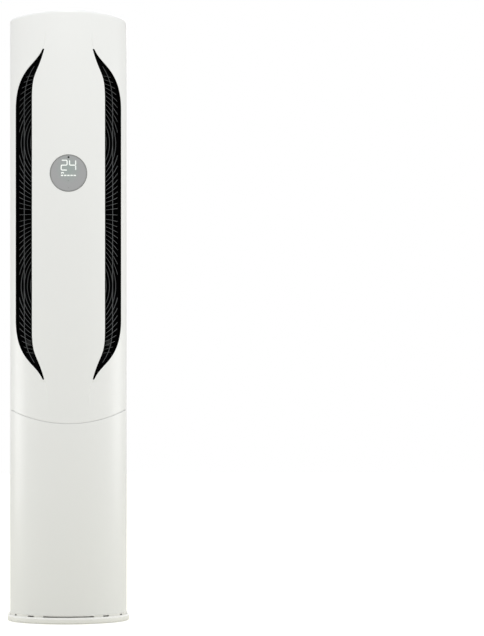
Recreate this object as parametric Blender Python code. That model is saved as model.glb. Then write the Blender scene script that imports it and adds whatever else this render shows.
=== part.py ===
# Floor-standing tower air conditioner
# Metres, +Z up. The origin is on the floor under the middle of the body, X runs to the viewer's right,
# and the front of the tower faces -Y. The widest line of the body lies in the plane Y = 0.

import math

import bmesh
import bpy
from mathutils import Vector

# Overall body
HEIGHT = 1.840
BODY_WIDTH = 0.354
FRONT_DEPTH = 0.150  # widest line to the foremost line
REAR_DEPTH = 0.150  # widest line to the flat back
REAR_CORNER = 0.065
CROWN_RADIUS = 0.790  # arch of the top, seen from the front
TOP_FILLET = 0.0085
WALL = 0.0025
FIT = 0.0003  # between pieces that seat on each other
JOINT_LINE = 0.0006  # open lines between the visible mouldings
PARTING_SETBACK = 0.034  # joint of front and rear mouldings, ahead of the widest line
TOP_RIM = 0.014  # width of the mouldings' rim round the top cover
TOP_LEDGE = 0.020
FLOOR_FLANGE = 0.0026
FLOOR_FLANGE_INSET = 0.016
TONGUE = 0.002  # thickness of the tongues behind the joint lines
TONGUE_REACH = 0.012

# Base
FOOT_HEIGHT = 0.002
FOOT_RADIUS = 0.014
FOOT_POCKET = 0.0025
FOOT_EDGE = 0.030  # foot centre, in from the body's outline
BASE_LIP = 0.007
BASE_HEIGHT = 0.018
BASE_ROUND = 0.0045
BASE_CHAMFER = 0.002
BASE_SKIN = 0.004
BASE_RIB = 0.004
SHADOW_GAP = 0.007
SKIRT_WALL = 0.003
WINDOW_HEIGHT = 0.0042
WINDOW_WIDTHS = ((0.0, 0.152), (0.1125, 0.017), (0.1585, 0.005))  # middle, width

# Air outlets
SLOT_TOP_DROP = 0.117  # below the top of the body
SLOT_LENGTH = 0.991
SLOT_EDGE = 0.0184  # outer edge, in from the widest line
SLOT_WIDTH = 0.0493
SLOT_LEAN = 0.0372  # how far the tips lean towards the middle
SLOT_TIP_WIDTH = 0.0052
INNER_BEND = 0.1514  # length of the curved end of the inner edge
INNER_TIP_OUT = 0.0223
INNER_TIP_DROP = 0.0822
INNER_STRAIGHT_HANDLE = 0.0875
OUTER_BEND = 0.180
OUTER_TIP_OUT = 0.0202
OUTER_TIP_DROP = 0.0509
OUTER_STRAIGHT_HANDLE = 0.1227

# Joint between the upper and lower front mouldings
SEAM_DROP = 0.1315  # below the outlets, at the middle
SEAM_RADIUS = 0.404

# Outlet guards
GUARD_RIM_SETBACK = 0.0015
GUARD_RIM_DEPTH = 0.013
GUARD_RIM_WALL = 0.0016
GUARD_FLANGE = 0.008
GUARD_EDGE_FLANGE = 0.0025
GUARD_FACE_SETBACK = 0.0085
GUARD_FACE = 0.0036
GUARD_BLANK_EDGE = 0.011  # plain band along the outer edge
GUARD_BLANK_END = 0.0815  # plain stretch at each tip
GUARD_RIB_SETBACK = 0.0005  # ribs behind the plain band
FAN_SPACING = 0.4290
RING_FIRST = 0.1140
RING_PITCH = 0.01914
RIB_WIDTH = 0.0020
RIB_DEPTH = 0.0029
BAR_PLACE = 0.46  # across the outlet, from its inner edge
BAR_WIDTH = 0.0020

# Display
DISPLAY_DROP = 0.490  # below the top of the body
DISPLAY_DIAMETER = 0.1115
BEZEL_WALL = 0.0022
BEZEL_SETBACK = 0.0004
LENS_THICKNESS = 0.0022
DISPLAY_CUP_DEPTH = 0.020
BOARD_THICKNESS = 0.0016
RECEIVER_RISE = 0.0475
RECEIVER_RADIUS = 0.0028

# Rear intake, filters and coil
INTAKE_SIDE = 0.007  # in from the flat back's edge
INTAKE_BORDER = 0.012
INTAKE_PITCH = 0.040
INTAKE_BAR = 0.010
INTAKE_FLANGE = 0.0025
INTAKE_OVERLAP = 0.005
INTAKE_MARGIN = 0.035  # clear of the outlets' ends, up and down
FILTER_THICKNESS = 0.010
FILTER_BORDER = 0.009
FILTER_MESH = 0.0012
FILTER_RIBS = 5
FILTER_GAP = 0.0010
RAIL_LIP = 0.0020
RAIL_GRIP = 0.005
RAIL_BACK = 0.0018
RAIL_POST = 0.008
RAIL_END_GAP = 0.0015
RAIL_TO_GRILLE = 0.0105
HANDLE_SLOT_MARGIN = 0.0015
COIL_DEPTH = 0.026
COIL_TO_RAIL = 0.0030
COIL_SIDE = 0.057  # in from the body's side
COIL_TOP_DROP = 0.030  # below the top of the outlets
TUBE_SHEET = 0.0015
BEND_COUNT = 8
BEND_RADIUS = 0.0125
BEND_TUBE = 0.004

# Drain pan and deck
DECK_DROP = 0.040  # below the outlets
DECK_THICKNESS = 0.002
DECK_EDGE_GAP = 0.0010
PAN_HEIGHT = 0.034
PAN_WALL = 0.002
PAN_SIDE_GAP = 0.0065
SPOUT_RADIUS = 0.008
SPOUT_BORE = 0.0062
SPOUT_LENGTH = 0.050
SPOUT_COLLAR = 0.012

# Fans, orifice and motors
ORIFICE_THICKNESS = 0.002
ORIFICE_TO_COIL = 0.0070
ORIFICE_SIDE = 0.016
THROAT_RADIUS = 0.080
MOUTH_RADIUS = 0.092
MOUTH_DEPTH = 0.012
FAN_RADIUS = 0.120
FAN_DEPTH = 0.073
FAN_INLET = 0.086
FAN_SKIN = 0.0025
FAN_TO_ORIFICE = 0.0045
BLADE_COUNT = 7
BLADE_INNER = 0.068
BLADE_THICKNESS = 0.0026
BLADE_SWEEP = 46.0  # degrees that a blade runs back round the axis
BLADE_INNER_HEIGHT = 0.62  # blade height at its inner edge, over the fan's depth
HUB_RADIUS = 0.013
HUB_RISE = 0.034
HUB_LENGTH = 0.012
DISH_RADIUS = 0.050
DISH_RISE = 0.018
RIM_FLAT = 0.035
SHROUD_CURL = 0.0075
SHROUD_RIM = 0.0555
SHAFT_RADIUS = 0.005
NUT_RADIUS = 0.010
NUT_HEIGHT = 0.007
MOTOR_RADIUS = 0.048
MOTOR_LENGTH = 0.044
MOTOR_FLANGE = 0.056
MOTOR_TO_FAN = 0.0060
MOTOR_ROUND = 0.004
BULKHEAD_SHEET = 0.002
BULKHEAD_HALF = 0.075
BULKHEAD_TOP_DROP = 0.012
DUCT_EDGE_GAP = 0.0035

# Vanes behind the outlets
VANE_LENGTH = 0.740
VANE_CHORD = 0.036
VANE_THICKNESS = 0.0030
VANE_INSET = 0.038  # pair's middle, in from the outer edge of the outlet
VANE_SPACING = 0.036
VANE_PIN = 0.0025
VANE_PIN_PROUD = 0.001
VANE_DRIVE_PIN = 0.005
VANE_END_GAP = 0.004
CRANK_PIN = 0.0015
CRANK_THROW = 0.012
LINK_WIDTH = 0.007
LINK_THICKNESS = 0.002
LINK_LIFT = 0.0010
LINK_OPEN_PIVOT = 0.0004  # extra clearance at the link's open end
BEARING_THICKNESS = 0.003
BEARING_MARGIN = 0.009
VANE_MOTOR_RADIUS = 0.013
VANE_MOTOR_HEIGHT = 0.018

# Service bay
PIPE_GAS = 0.00635
PIPE_LIQUID = 0.0032
PIPE_EDGE = 0.0200  # gas pipe centre, in from the body's side
PIPE_PITCH = 0.017
PIPE_DROPS = (0.420, 0.380)  # ends of the gas and liquid pipes, below the deck
PIPE_BEND = 0.018
NUT_GROW = 1.9  # flare nut width over pipe width
FLARE_NUT_HEIGHT = 0.020
CONTROL_BOX = (0.170, 0.060, 0.250)
CONTROL_BOX_SHEET = 0.0012
CONTROL_BOX_FRONT = 0.050  # in from the foremost line
CONTROL_LID = 0.0015
BOARD_STANDOFF = 0.008
TERMINAL_BLOCK = (0.070, 0.018, 0.024)
TERMINAL_BARRIERS = 5
PIPE_EXIT_RADIUS = 0.035
PIPE_EXIT_HEIGHT = 0.160
GROMMET_LIP = 0.004
GROMMET_SKIN = 0.0018
CORD_EXIT_RADIUS = 0.008
CORD_EXIT_HEIGHT = 0.070
CORD_EXIT_SIDE = 0.070

# Facets
FRONT_SEGMENTS = 26
CORNER_SEGMENTS = 5
BACK_SEGMENTS = 6
ARC_SEGMENTS = 3
SLOT_SAMPLES = 9
SEAM_SEGMENTS = 20
ROUND_SEGMENTS = 32
FAN_SEGMENTS = 18
EXIT_SEGMENTS = 20
MOTOR_SEGMENTS = 16
PIN_SEGMENTS = 12
RIB_SEGMENTS = 2
RIB_SAMPLES = 160
BAR_SEGMENTS = 12
BLADE_STATIONS = 3

# Heights and depths that follow from the sizes above
half_width = BODY_WIDTH / 2
base_top = FOOT_HEIGHT + BASE_HEIGHT
cover_bottom = base_top + SHADOW_GAP
slot_top = HEIGHT - SLOT_TOP_DROP
slot_bottom = slot_top - SLOT_LENGTH
slot_middle = (slot_top + slot_bottom) / 2
slot_outer = half_width - SLOT_EDGE
slot_inner = slot_outer - SLOT_WIDTH
seam_height = slot_bottom - SEAM_DROP
deck_bottom = slot_bottom - DECK_DROP
deck_top = deck_bottom + DECK_THICKNESS
display_height = HEIGHT - DISPLAY_DROP
tongue_outer = WALL + FIT
tongue_inner = tongue_outer + TONGUE
parting_front = -PARTING_SETBACK - JOINT_LINE / 2
parting_rear = -PARTING_SETBACK + JOINT_LINE / 2

intake_top = slot_top - INTAKE_MARGIN
intake_bottom = slot_bottom + INTAKE_MARGIN
intake_half = half_width - REAR_CORNER - INTAKE_SIDE
grille_front = REAR_DEPTH - WALL - FIT - INTAKE_FLANGE
rail_rear = grille_front - RAIL_TO_GRILLE
filter_rear = rail_rear - RAIL_LIP - FIT
filter_front = filter_rear - FILTER_THICKNESS
rail_front = filter_front - FIT - RAIL_LIP
coil_rear = rail_front - COIL_TO_RAIL
coil_front = coil_rear - COIL_DEPTH
coil_half = half_width - COIL_SIDE
pan_bottom = deck_top + FIT
coil_bottom = pan_bottom + PAN_WALL + FIT
coil_top = slot_top - COIL_TOP_DROP
pan_half = half_width - PIPE_EDGE - PIPE_GAS - PAN_SIDE_GAP
orifice_rear = coil_front - ORIFICE_TO_COIL
orifice_front = orifice_rear - ORIFICE_THICKNESS
fan_rear = orifice_front - FAN_TO_ORIFICE
fan_front = fan_rear - FAN_DEPTH
motor_front = fan_front - MOTOR_TO_FAN
motor_rear = motor_front - MOTOR_LENGTH
bulkhead_rear = motor_rear - FIT
bulkhead_front = bulkhead_rear - BULKHEAD_SHEET
deck_inset = tongue_inner + DECK_EDGE_GAP
fan_heights = {
    "upper": slot_middle + FAN_SPACING / 2,
    "lower": slot_middle - FAN_SPACING / 2,
}

# Finishes: sRGB colour, roughness, metallic
FINISHES = {
    "white_shell": ("EBEDEC", 0.36, 0.0),
    "black_moulding": ("0B0B0D", 0.45, 0.0),
    "grey_moulding": ("6E7174", 0.50, 0.0),
    "ivory_moulding": ("D9DAD4", 0.50, 0.0),
    "display_grey": ("A3A5A4", 0.18, 0.0),
    "smoked_lens": ("2A2C2E", 0.12, 0.0),
    "board_green": ("1F5A36", 0.45, 0.0),
    "sheet_steel": ("B4B7B8", 0.38, 0.9),
    "aluminium_fins": ("C4C8CB", 0.42, 0.95),
    "copper": ("B4693F", 0.32, 1.0),
    "brass": ("C8A456", 0.30, 1.0),
    "machined_steel": ("A8ABAD", 0.28, 1.0),
    "rubber": ("1B1B1C", 0.85, 0.0),
    "foam_white": ("E4E5E2", 0.80, 0.0),
}


# Scene and materials


def clear_scene():
    for obj in list(bpy.data.objects):
        bpy.data.objects.remove(obj, do_unlink=True)


def linear(channel):
    if channel <= 0.04045:
        return channel / 12.92
    return ((channel + 0.055) / 1.055) ** 2.4


def finish(obj, name):
    """Gives the piece its own material in one of the finishes."""
    colour, roughness, metallic = FINISHES[name]
    channels = [int(colour[k : k + 2], 16) / 255 for k in (0, 2, 4)]
    material = bpy.data.materials.new(f"{obj.name}_{name}")
    material.use_nodes = True
    shader = material.node_tree.nodes["Principled BSDF"]
    shader.inputs["Base Color"].default_value = (*map(linear, channels), 1.0)
    shader.inputs["Roughness"].default_value = roughness
    shader.inputs["Metallic"].default_value = metallic
    obj.data.materials.clear()
    obj.data.materials.append(material)


def smooth(obj, angle=32.0):
    obj.data.shade_smooth()
    obj.data.set_sharp_from_angle(angle=math.radians(angle))


def empty(name, place, parent=None):
    obj = bpy.data.objects.new(name, None)
    obj.location = place
    obj.parent = parent
    bpy.context.scene.collection.objects.link(obj)
    return obj


# Solids


def solid(name, points, faces):
    mesh = bpy.data.meshes.new(name)
    work = bmesh.new()
    verts = [work.verts.new(point) for point in points]
    for face in faces:
        work.faces.new([verts[k] for k in face])
    bmesh.ops.recalc_face_normals(work, faces=work.faces)
    work.to_mesh(mesh)
    work.free()
    obj = bpy.data.objects.new(name, mesh)
    bpy.context.scene.collection.objects.link(obj)
    return obj


def sweep(name, sections, loop=False):
    """Skins a row of like sections, closed round on itself or capped at its ends."""
    count = len(sections[0])
    points = [point for section in sections for point in section]
    faces = []
    last = len(sections) if loop else len(sections) - 1
    for i in range(last):
        here = i * count
        there = (i + 1) % len(sections) * count
        for j in range(count):
            k = (j + 1) % count
            faces.append((here + j, here + k, there + k, there + j))
    if not loop:
        faces.append(tuple(range(count)))
        faces.append(tuple(range(last * count, (last + 1) * count)))
    return solid(name, points, faces)


def along(axis, u, v, w):
    """The point with u and v across the axis, in axis order, and w along it."""
    return {"X": (w, u, v), "Y": (u, w, v), "Z": (u, v, w)}[axis]


def prism(name, axis, outline, low, high):
    """A flat outline, extruded along an axis."""
    work = bmesh.new()
    face = work.faces.new([work.verts.new(along(axis, u, v, low)) for u, v in outline])
    grown = bmesh.ops.extrude_face_region(work, geom=[face])["geom"]
    moved = [item for item in grown if isinstance(item, bmesh.types.BMVert)]
    bmesh.ops.translate(work, verts=moved, vec=along(axis, 0, 0, high - low))
    bmesh.ops.recalc_face_normals(work, faces=work.faces)
    mesh = bpy.data.meshes.new(name)
    work.to_mesh(mesh)
    work.free()
    obj = bpy.data.objects.new(name, mesh)
    bpy.context.scene.collection.objects.link(obj)
    return obj


def box(name, low, high):
    corners = [(low[0], low[1]), (high[0], low[1]), (high[0], high[1]), (low[0], high[1])]
    return prism(name, "Z", corners, low[2], high[2])


def circle(radius, segments, middle=(0.0, 0.0)):
    turns = [2 * math.pi * (k + 0.5) / segments for k in range(segments)]
    return [(middle[0] + radius * math.cos(a), middle[1] + radius * math.sin(a)) for a in turns]


def rod(name, axis, radius, low, high, middle=(0.0, 0.0), segments=PIN_SEGMENTS):
    return prism(name, axis, circle(radius, segments, middle), low, high)


def lathe(name, axis, profile, segments):
    """Turns a closed profile of (radius, height) points that stays off the axis."""
    sections = []
    for k in range(segments):
        turn = 2 * math.pi * (k + 0.5) / segments
        across = (math.cos(turn), math.sin(turn))
        sections.append([along(axis, r * across[0], r * across[1], h) for r, h in profile])
    return sweep(name, sections, loop=True)


def bake(obj):
    """Replaces the object's mesh by what its modifiers make of it."""
    graph = bpy.context.evaluated_depsgraph_get()
    mesh = bpy.data.meshes.new_from_object(obj.evaluated_get(graph))
    old = obj.data
    obj.modifiers.clear()
    obj.data = mesh
    bpy.data.meshes.remove(old)


def combine(target, operation, *tools):
    """Cuts, joins or intersects the target with each tool, and removes the tools."""
    for tool in tools:
        tool.hide_render = True
        tool.display_type = "WIRE"
        modifier = target.modifiers.new(operation.lower(), "BOOLEAN")
        modifier.operation = operation
        modifier.solver = "EXACT"
        modifier.object = tool
        bake(target)
        bpy.data.objects.remove(tool, do_unlink=True)
    return target


def merge(name, objects):
    """Joins objects that don't touch into one, as a tool for a later union."""
    points = []
    faces = []
    for obj in objects:
        start = len(points)
        points += [tuple(vertex.co) for vertex in obj.data.vertices]
        faces += [tuple(start + k for k in polygon.vertices) for polygon in obj.data.polygons]
        bpy.data.objects.remove(obj, do_unlink=True)
    return solid(name, points, faces)


# Outline of the body


def front_point(turn, inset=0.0):
    """Plan point on the front: 0 degrees at the right-hand widest line, 90 at the foremost line."""
    angle = math.radians(turn)
    normal = Vector((math.cos(angle) / half_width, -math.sin(angle) / FRONT_DEPTH)).normalized()
    place = Vector((half_width * math.cos(angle), -FRONT_DEPTH * math.sin(angle)))
    return place - normal * inset


def front_turn(x, inset=0.0):
    """The turn at which the inset front outline reaches x."""
    low, high = 0.0, 180.0
    for _ in range(40):
        middle = (low + high) / 2
        if front_point(middle, inset).x > x:
            low = middle
        else:
            high = middle
    return (low + high) / 2


def side_turn(y):
    """The turn at which the right-hand side of the front outline reaches y."""
    return math.degrees(math.asin(-y / FRONT_DEPTH))


def body_outline(inset=0.0):
    """Plan outline of the body, anticlockwise from the right-hand rear corner."""
    corner_x = half_width - REAR_CORNER
    corner_y = REAR_DEPTH - REAR_CORNER
    radius = REAR_CORNER - inset
    points = []
    for side, start in ((1, 0.0), (-1, 90.0)):
        for k in range(CORNER_SEGMENTS + 1):
            angle = math.radians(start + 90.0 * k / CORNER_SEGMENTS)
            points.append((side * corner_x + radius * math.cos(angle), corner_y + radius * math.sin(angle)))
        if side == 1:
            for k in range(1, BACK_SEGMENTS):
                points.append((corner_x * (1 - 2 * k / BACK_SEGMENTS), REAR_DEPTH - inset))
    for k in range(FRONT_SEGMENTS + 1):
        points.append(tuple(front_point(180.0 * (1 - k / FRONT_SEGMENTS), inset)))
    return points


def side_x(y, inset):
    """The x of the right-hand rear outline at a depth, with an inset."""
    rise = max(y - (REAR_DEPTH - REAR_CORNER), 0.0)
    return half_width - REAR_CORNER + math.sqrt((REAR_CORNER - inset) ** 2 - rise**2)


def crown(x):
    """Height of the arched top at x."""
    return HEIGHT - CROWN_RADIUS + math.sqrt(CROWN_RADIUS**2 - x**2)


def seam(x):
    """Height of the joint line between the front mouldings at x."""
    return seam_height + SEAM_RADIUS - math.sqrt(SEAM_RADIUS**2 - x**2)


def loft(name, levels):
    """A solid through body outlines at the given (inset, height) levels."""
    return sweep(name, [[(x, y, z) for x, y in body_outline(inset)] for inset, z in levels])


def ring(name, profile):
    """Carries a closed profile round the body. A profile point is an inset, a height and the level
    that the height is measured from: the floor, or the arched top."""
    outlines = [body_outline(inset) for inset, _, _ in profile]
    sections = []
    for k in range(len(outlines[0])):
        section = []
        for outline, (_, rise, level) in zip(outlines, profile):
            x, y = outline[k]
            section.append((x, y, rise + (crown(x) if level == "top" else 0.0)))
        sections.append(section)
    return sweep(name, sections, loop=True)


def front_strip(name, turns, profile, level=lambda x: 0.0):
    """Carries a closed profile of (inset, height) points along the front, between two turns."""
    step = 180.0 / FRONT_SEGMENTS
    low, high = sorted(turns)
    shared = [k * step for k in range(FRONT_SEGMENTS + 1) if low + step / 9 < k * step < high - step / 9]
    sections = []
    for turn in [low] + shared + [high]:
        base = level(front_point(turn).x)
        sections.append([(*front_point(turn, inset), base + rise) for inset, rise in profile])
    return sweep(name, sections)


# Outline of the air outlets


def bezier(points, count):
    curve = []
    for k in range(count + 1):
        t = k / count
        weights = ((1 - t) ** 3, 3 * (1 - t) ** 2 * t, 3 * (1 - t) * t * t, t**3)
        curve.append(tuple(sum(w * p[axis] for w, p in zip(weights, points)) for axis in (0, 1)))
    return curve


def slot_edge(outer):
    """One edge of the right-hand outlet, as (x, height) points from the top tip to the bottom tip."""
    edge = slot_outer if outer else slot_inner
    tip = slot_inner - SLOT_LEAN + (SLOT_TIP_WIDTH if outer else 0.0)
    bend = OUTER_BEND if outer else INNER_BEND
    tip_out = OUTER_TIP_OUT if outer else INNER_TIP_OUT
    tip_drop = OUTER_TIP_DROP if outer else INNER_TIP_DROP
    straight = OUTER_STRAIGHT_HANDLE if outer else INNER_STRAIGHT_HANDLE
    control = [(tip, 0.0), (tip + tip_out, tip_drop), (edge, bend - straight), (edge, bend)]
    end = bezier(control, SLOT_SAMPLES)
    upper = [(x, slot_top - drop) for x, drop in end]
    lower = [(x, slot_bottom + drop) for x, drop in reversed(end)]
    return upper + lower


def shifted(points, offset):
    """A falling line of points, moved sideways towards +X."""
    moved = []
    for k, (x, z) in enumerate(points):
        before = points[max(k - 1, 0)]
        after = points[min(k + 1, len(points) - 1)]
        run = Vector((after[0] - before[0], after[1] - before[1])).normalized()
        moved.append((x - run.y * offset, z + run.x * offset))
    return moved


def crossing(points, z):
    """The x of a falling line of points at a height."""
    if z >= points[0][1]:
        return points[0][0]
    for (x0, z0), (x1, z1) in zip(points, points[1:]):
        if z0 >= z >= z1 and z0 > z1:
            return x0 + (x1 - x0) * (z0 - z) / (z0 - z1)
    return points[-1][0]


def slot_outline(side, inner=0.0, outer=0.0, end=0.0):
    """The outlet's outline on one side of the tower, with its edges and ends drawn in."""
    left = shifted(slot_edge(False), inner)
    right = shifted(slot_edge(True), -outer)
    high = slot_top - end
    low = slot_bottom + end
    drops = [OUTER_BEND * (k / SLOT_SAMPLES) ** 1.25 for k in range(SLOT_SAMPLES + 1)]
    heights = [slot_top - drop for drop in drops]
    heights += [slot_bottom + drop for drop in reversed(drops)]
    heights = [high] + [z for z in heights if low < z < high] + [low]
    rows = [(z, crossing(left, z), crossing(right, z)) for z in heights]
    rows = [row for row in rows if row[2] - row[1] > SLOT_TIP_WIDTH / 4]
    down = [(side * x, z) for z, x, _ in rows]
    up = [(side * x, z) for z, _, x in reversed(rows)]
    return down + up


# Shells and covers


def shell_ring(name):
    """The whole body wall with its top rim, cover ledge and floor flange, before it is parted."""
    profile = [(0.0, cover_bottom, "floor")]
    for k in range(ARC_SEGMENTS + 1):
        angle = math.pi / 2 * k / ARC_SEGMENTS
        inset = TOP_FILLET * (1 - math.cos(angle))
        drop = TOP_FILLET * (1 - math.sin(angle))
        profile.append((inset, -drop, "top"))
    profile += [
        (TOP_RIM, 0.0, "top"),
        (TOP_RIM, -WALL, "top"),
        (TOP_LEDGE, -WALL, "top"),
        (TOP_LEDGE, -2 * WALL, "top"),
        (TOP_FILLET, -2 * WALL, "top"),
        (WALL, -TOP_FILLET - WALL, "top"),
        (WALL, cover_bottom + FLOOR_FLANGE, "floor"),
        (FLOOR_FLANGE_INSET, cover_bottom + FLOOR_FLANGE, "floor"),
        (FLOOR_FLANGE_INSET, cover_bottom, "floor"),
    ]
    return ring(name, profile)


def front_zone(name, above):
    """Everything ahead of the parting line and above or below the seam."""
    reach = min(BODY_WIDTH, SEAM_RADIUS * 0.95)
    steps = [reach * (2 * k / SEAM_SEGMENTS - 1) for k in range(SEAM_SEGMENTS + 1)]
    shift = JOINT_LINE / 2 if above else -JOINT_LINE / 2
    edge = [(x, seam(x) + shift) for x in steps]
    far = 2 * HEIGHT if above else -HEIGHT
    outline = edge + [(reach, far), (-reach, far)]
    return prism(name, "Y", outline, -2 * FRONT_DEPTH, parting_front)


def joint_tongue(name):
    """The lip behind the seam, with a root that runs into the upper moulding's wall."""
    root = WALL * 0.6
    profile = [
        (tongue_outer, -TONGUE_REACH),
        (tongue_outer, JOINT_LINE),
        (root, JOINT_LINE * 2),
        (root, TONGUE_REACH / 2),
        (tongue_inner, TONGUE_REACH / 2 + TONGUE),
        (tongue_inner, -TONGUE_REACH),
    ]
    first = side_turn(parting_front - TONGUE_REACH - 4 * FIT)
    return front_strip(name, (180.0 - first, first), profile, seam)


def build_front_panel():
    panel = shell_ring("front_panel")
    combine(panel, "INTERSECT", front_zone("panel_zone", True))
    combine(panel, "UNION", joint_tongue("panel_tongue"))
    for side in (-1, 1):
        cutter = prism("outlet_cutter", "Y", slot_outline(side), -2 * FRONT_DEPTH, -FIT)
        combine(panel, "DIFFERENCE", cutter)
    radius = DISPLAY_DIAMETER / 2 + FIT
    middle = (0.0, display_height)
    window = rod("display_cutter", "Y", radius, -2 * FRONT_DEPTH, -FIT, middle, ROUND_SEGMENTS)
    combine(panel, "DIFFERENCE", window)
    smooth(panel)
    finish(panel, "white_shell")
    return panel


def build_lower_cover():
    cover = shell_ring("lower_front_cover")
    combine(cover, "INTERSECT", front_zone("cover_zone", False))
    smooth(cover)
    finish(cover, "white_shell")
    return cover


def parting_tongue(name, side):
    """The cabinet's lip behind the edge of a front moulding."""
    root = WALL * 0.6
    first = parting_rear - JOINT_LINE - TONGUE_REACH
    step = parting_rear + JOINT_LINE
    last = parting_rear + TONGUE_REACH / 2
    rows = [(first, tongue_outer), (step, tongue_outer), (step, root), (last, root)]
    rows += [(last + TONGUE, tongue_inner), (first, tongue_inner)]
    outline = [front_point(side_turn(y), inset) for y, inset in rows]
    low = cover_bottom + FLOOR_FLANGE + FIT
    high = crown(half_width) - TOP_FILLET - 3 * WALL
    return prism(name, "Z", [(side * p.x, p.y) for p in outline], low, high)


def sided_box(name, side, near, far, ys, zs):
    """A box from near to far along X, on the given side of the tower."""
    low, high = sorted((side * near, side * far))
    return box(name, (low, ys[0], zs[0]), (high, ys[1], zs[1]))


def handle_zone(name, side, clearance):
    """The side opening that a filter is drawn through, or with clearance, the strip that closes it."""
    grow = HANDLE_SLOT_MARGIN - clearance
    ys = (rail_front - grow, rail_rear + grow)
    zs = (intake_bottom - FILTER_BORDER - grow, intake_top + FILTER_BORDER + grow)
    return sided_box(name, side, half_width - REAR_CORNER, BODY_WIDTH, ys, zs)


def build_rear_cabinet():
    cabinet = shell_ring("rear_cabinet")
    low = (-BODY_WIDTH, parting_rear, -HEIGHT)
    high = (BODY_WIDTH, 2 * REAR_DEPTH, 2 * HEIGHT)
    combine(cabinet, "INTERSECT", box("cabinet_zone", low, high))
    for side in (-1, 1):
        combine(cabinet, "UNION", parting_tongue("cabinet_tongue", side))
        combine(cabinet, "DIFFERENCE", handle_zone("filter_cutter", side, 0.0))
    low = (-intake_half, REAR_DEPTH / 2, intake_bottom)
    high = (intake_half, 2 * REAR_DEPTH, intake_top)
    combine(cabinet, "DIFFERENCE", box("intake_cutter", low, high))
    for radius, place, segments in (
        (PIPE_EXIT_RADIUS, (0.0, PIPE_EXIT_HEIGHT), EXIT_SEGMENTS),
        (CORD_EXIT_RADIUS, (CORD_EXIT_SIDE, CORD_EXIT_HEIGHT), PIN_SEGMENTS),
    ):
        cutter = rod("exit_cutter", "Y", radius, REAR_DEPTH / 2, 2 * REAR_DEPTH, place, segments)
        combine(cabinet, "DIFFERENCE", cutter)
    smooth(cabinet)
    finish(cabinet, "white_shell")
    return cabinet


def build_top_cover():
    """A band between two arcs of the crown, trimmed to the rim's opening."""
    steps = [half_width * (2 * k / SEAM_SEGMENTS - 1) for k in range(SEAM_SEGMENTS + 1)]
    band = [(x, crown(x)) for x in steps]
    band += [(x, crown(x) - WALL + FIT) for x in reversed(steps)]
    cover = prism("top_cover", "Y", band, -2 * FRONT_DEPTH, 2 * REAR_DEPTH)
    inset = TOP_RIM + JOINT_LINE
    combine(cover, "INTERSECT", loft("top_trim", [(inset, HEIGHT / 2), (inset, 2 * HEIGHT)]))
    smooth(cover)
    finish(cover, "white_shell")
    return cover


# Base and feet


def foot_places():
    front = front_point(45.0, FOOT_EDGE)
    rear = (half_width - FOOT_EDGE, REAR_DEPTH - REAR_CORNER)
    return {
        "front_left": (-front.x, front.y),
        "front_right": (front.x, front.y),
        "rear_left": (-rear[0], rear[1]),
        "rear_right": rear,
    }


def build_base():
    levels = [(BASE_CHAMFER - BASE_LIP, FOOT_HEIGHT), (-BASE_LIP, FOOT_HEIGHT + BASE_CHAMFER)]
    for k in range(ARC_SEGMENTS + 1):
        angle = math.pi / 2 * k / ARC_SEGMENTS
        inset = BASE_ROUND * (1 - math.cos(angle)) - BASE_LIP
        levels.append((inset, base_top - BASE_ROUND * (1 - math.sin(angle))))
    out, low = levels[-1]
    for k in range(1, ARC_SEGMENTS + 1):
        angle = math.pi / 2 * k / ARC_SEGMENTS
        levels.append((out * (1 - math.sin(angle)), low + (cover_bottom - FIT - low) * (1 - math.cos(angle))))
    base = loft("base_plinth", levels)
    combine(base, "DIFFERENCE", loft("well", [(SKIRT_WALL, base_top), (SKIRT_WALL, HEIGHT)]))
    for middle, width in WINDOW_WIDTHS:
        for x in sorted({-middle, middle}):
            low = (x - width / 2, -2 * FRONT_DEPTH, base_top)
            high = (x + width / 2, 0.0, base_top + WINDOW_HEIGHT)
            combine(base, "DIFFERENCE", box("window_cutter", low, high))
    hollow = loft("hollow", [(BASE_RIB, -HEIGHT), (BASE_RIB, base_top - BASE_SKIN)])
    half = BASE_RIB / 2
    cross = box("rib_x", (-BODY_WIDTH, -half, -2 * HEIGHT), (BODY_WIDTH, half, HEIGHT))
    spine = box("rib_y", (-half, -2 * FRONT_DEPTH, -2 * HEIGHT), (half, 2 * REAR_DEPTH, HEIGHT))
    combine(hollow, "DIFFERENCE", cross, spine)
    for place in foot_places().values():
        radius = FOOT_RADIUS + BASE_RIB
        boss = rod("boss", "Z", radius, -2 * HEIGHT, HEIGHT, place, MOTOR_SEGMENTS)
        combine(hollow, "DIFFERENCE", boss)
    combine(base, "DIFFERENCE", hollow)
    for place in foot_places().values():
        top = FOOT_HEIGHT + FOOT_POCKET
        pocket = rod("pocket", "Z", FOOT_RADIUS + FIT, -HEIGHT, top, place, MOTOR_SEGMENTS)
        combine(base, "DIFFERENCE", pocket)
    smooth(base)
    finish(base, "ivory_moulding")
    return base


def build_feet():
    feet = []
    height = FOOT_HEIGHT + FOOT_POCKET - FIT
    for name, (x, y) in foot_places().items():
        foot = rod(f"foot_pad_{name}", "Z", FOOT_RADIUS, 0.0, height, segments=MOTOR_SEGMENTS)
        foot.location = (x, y, 0.0)
        smooth(foot)
        finish(foot, "rubber")
        feet.append(foot)
    return feet


# Outlet guards


def surface_place(x, z, inset, side):
    """A point on the inset front surface, and the surface's outward normal there."""
    turn = front_turn(x, inset)
    place = front_point(turn, inset)
    outward = (front_point(turn, inset - 1.0) - place).normalized()
    return Vector((side * place.x, place.y, z)), Vector((side * outward.x, outward.y, 0.0))


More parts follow.
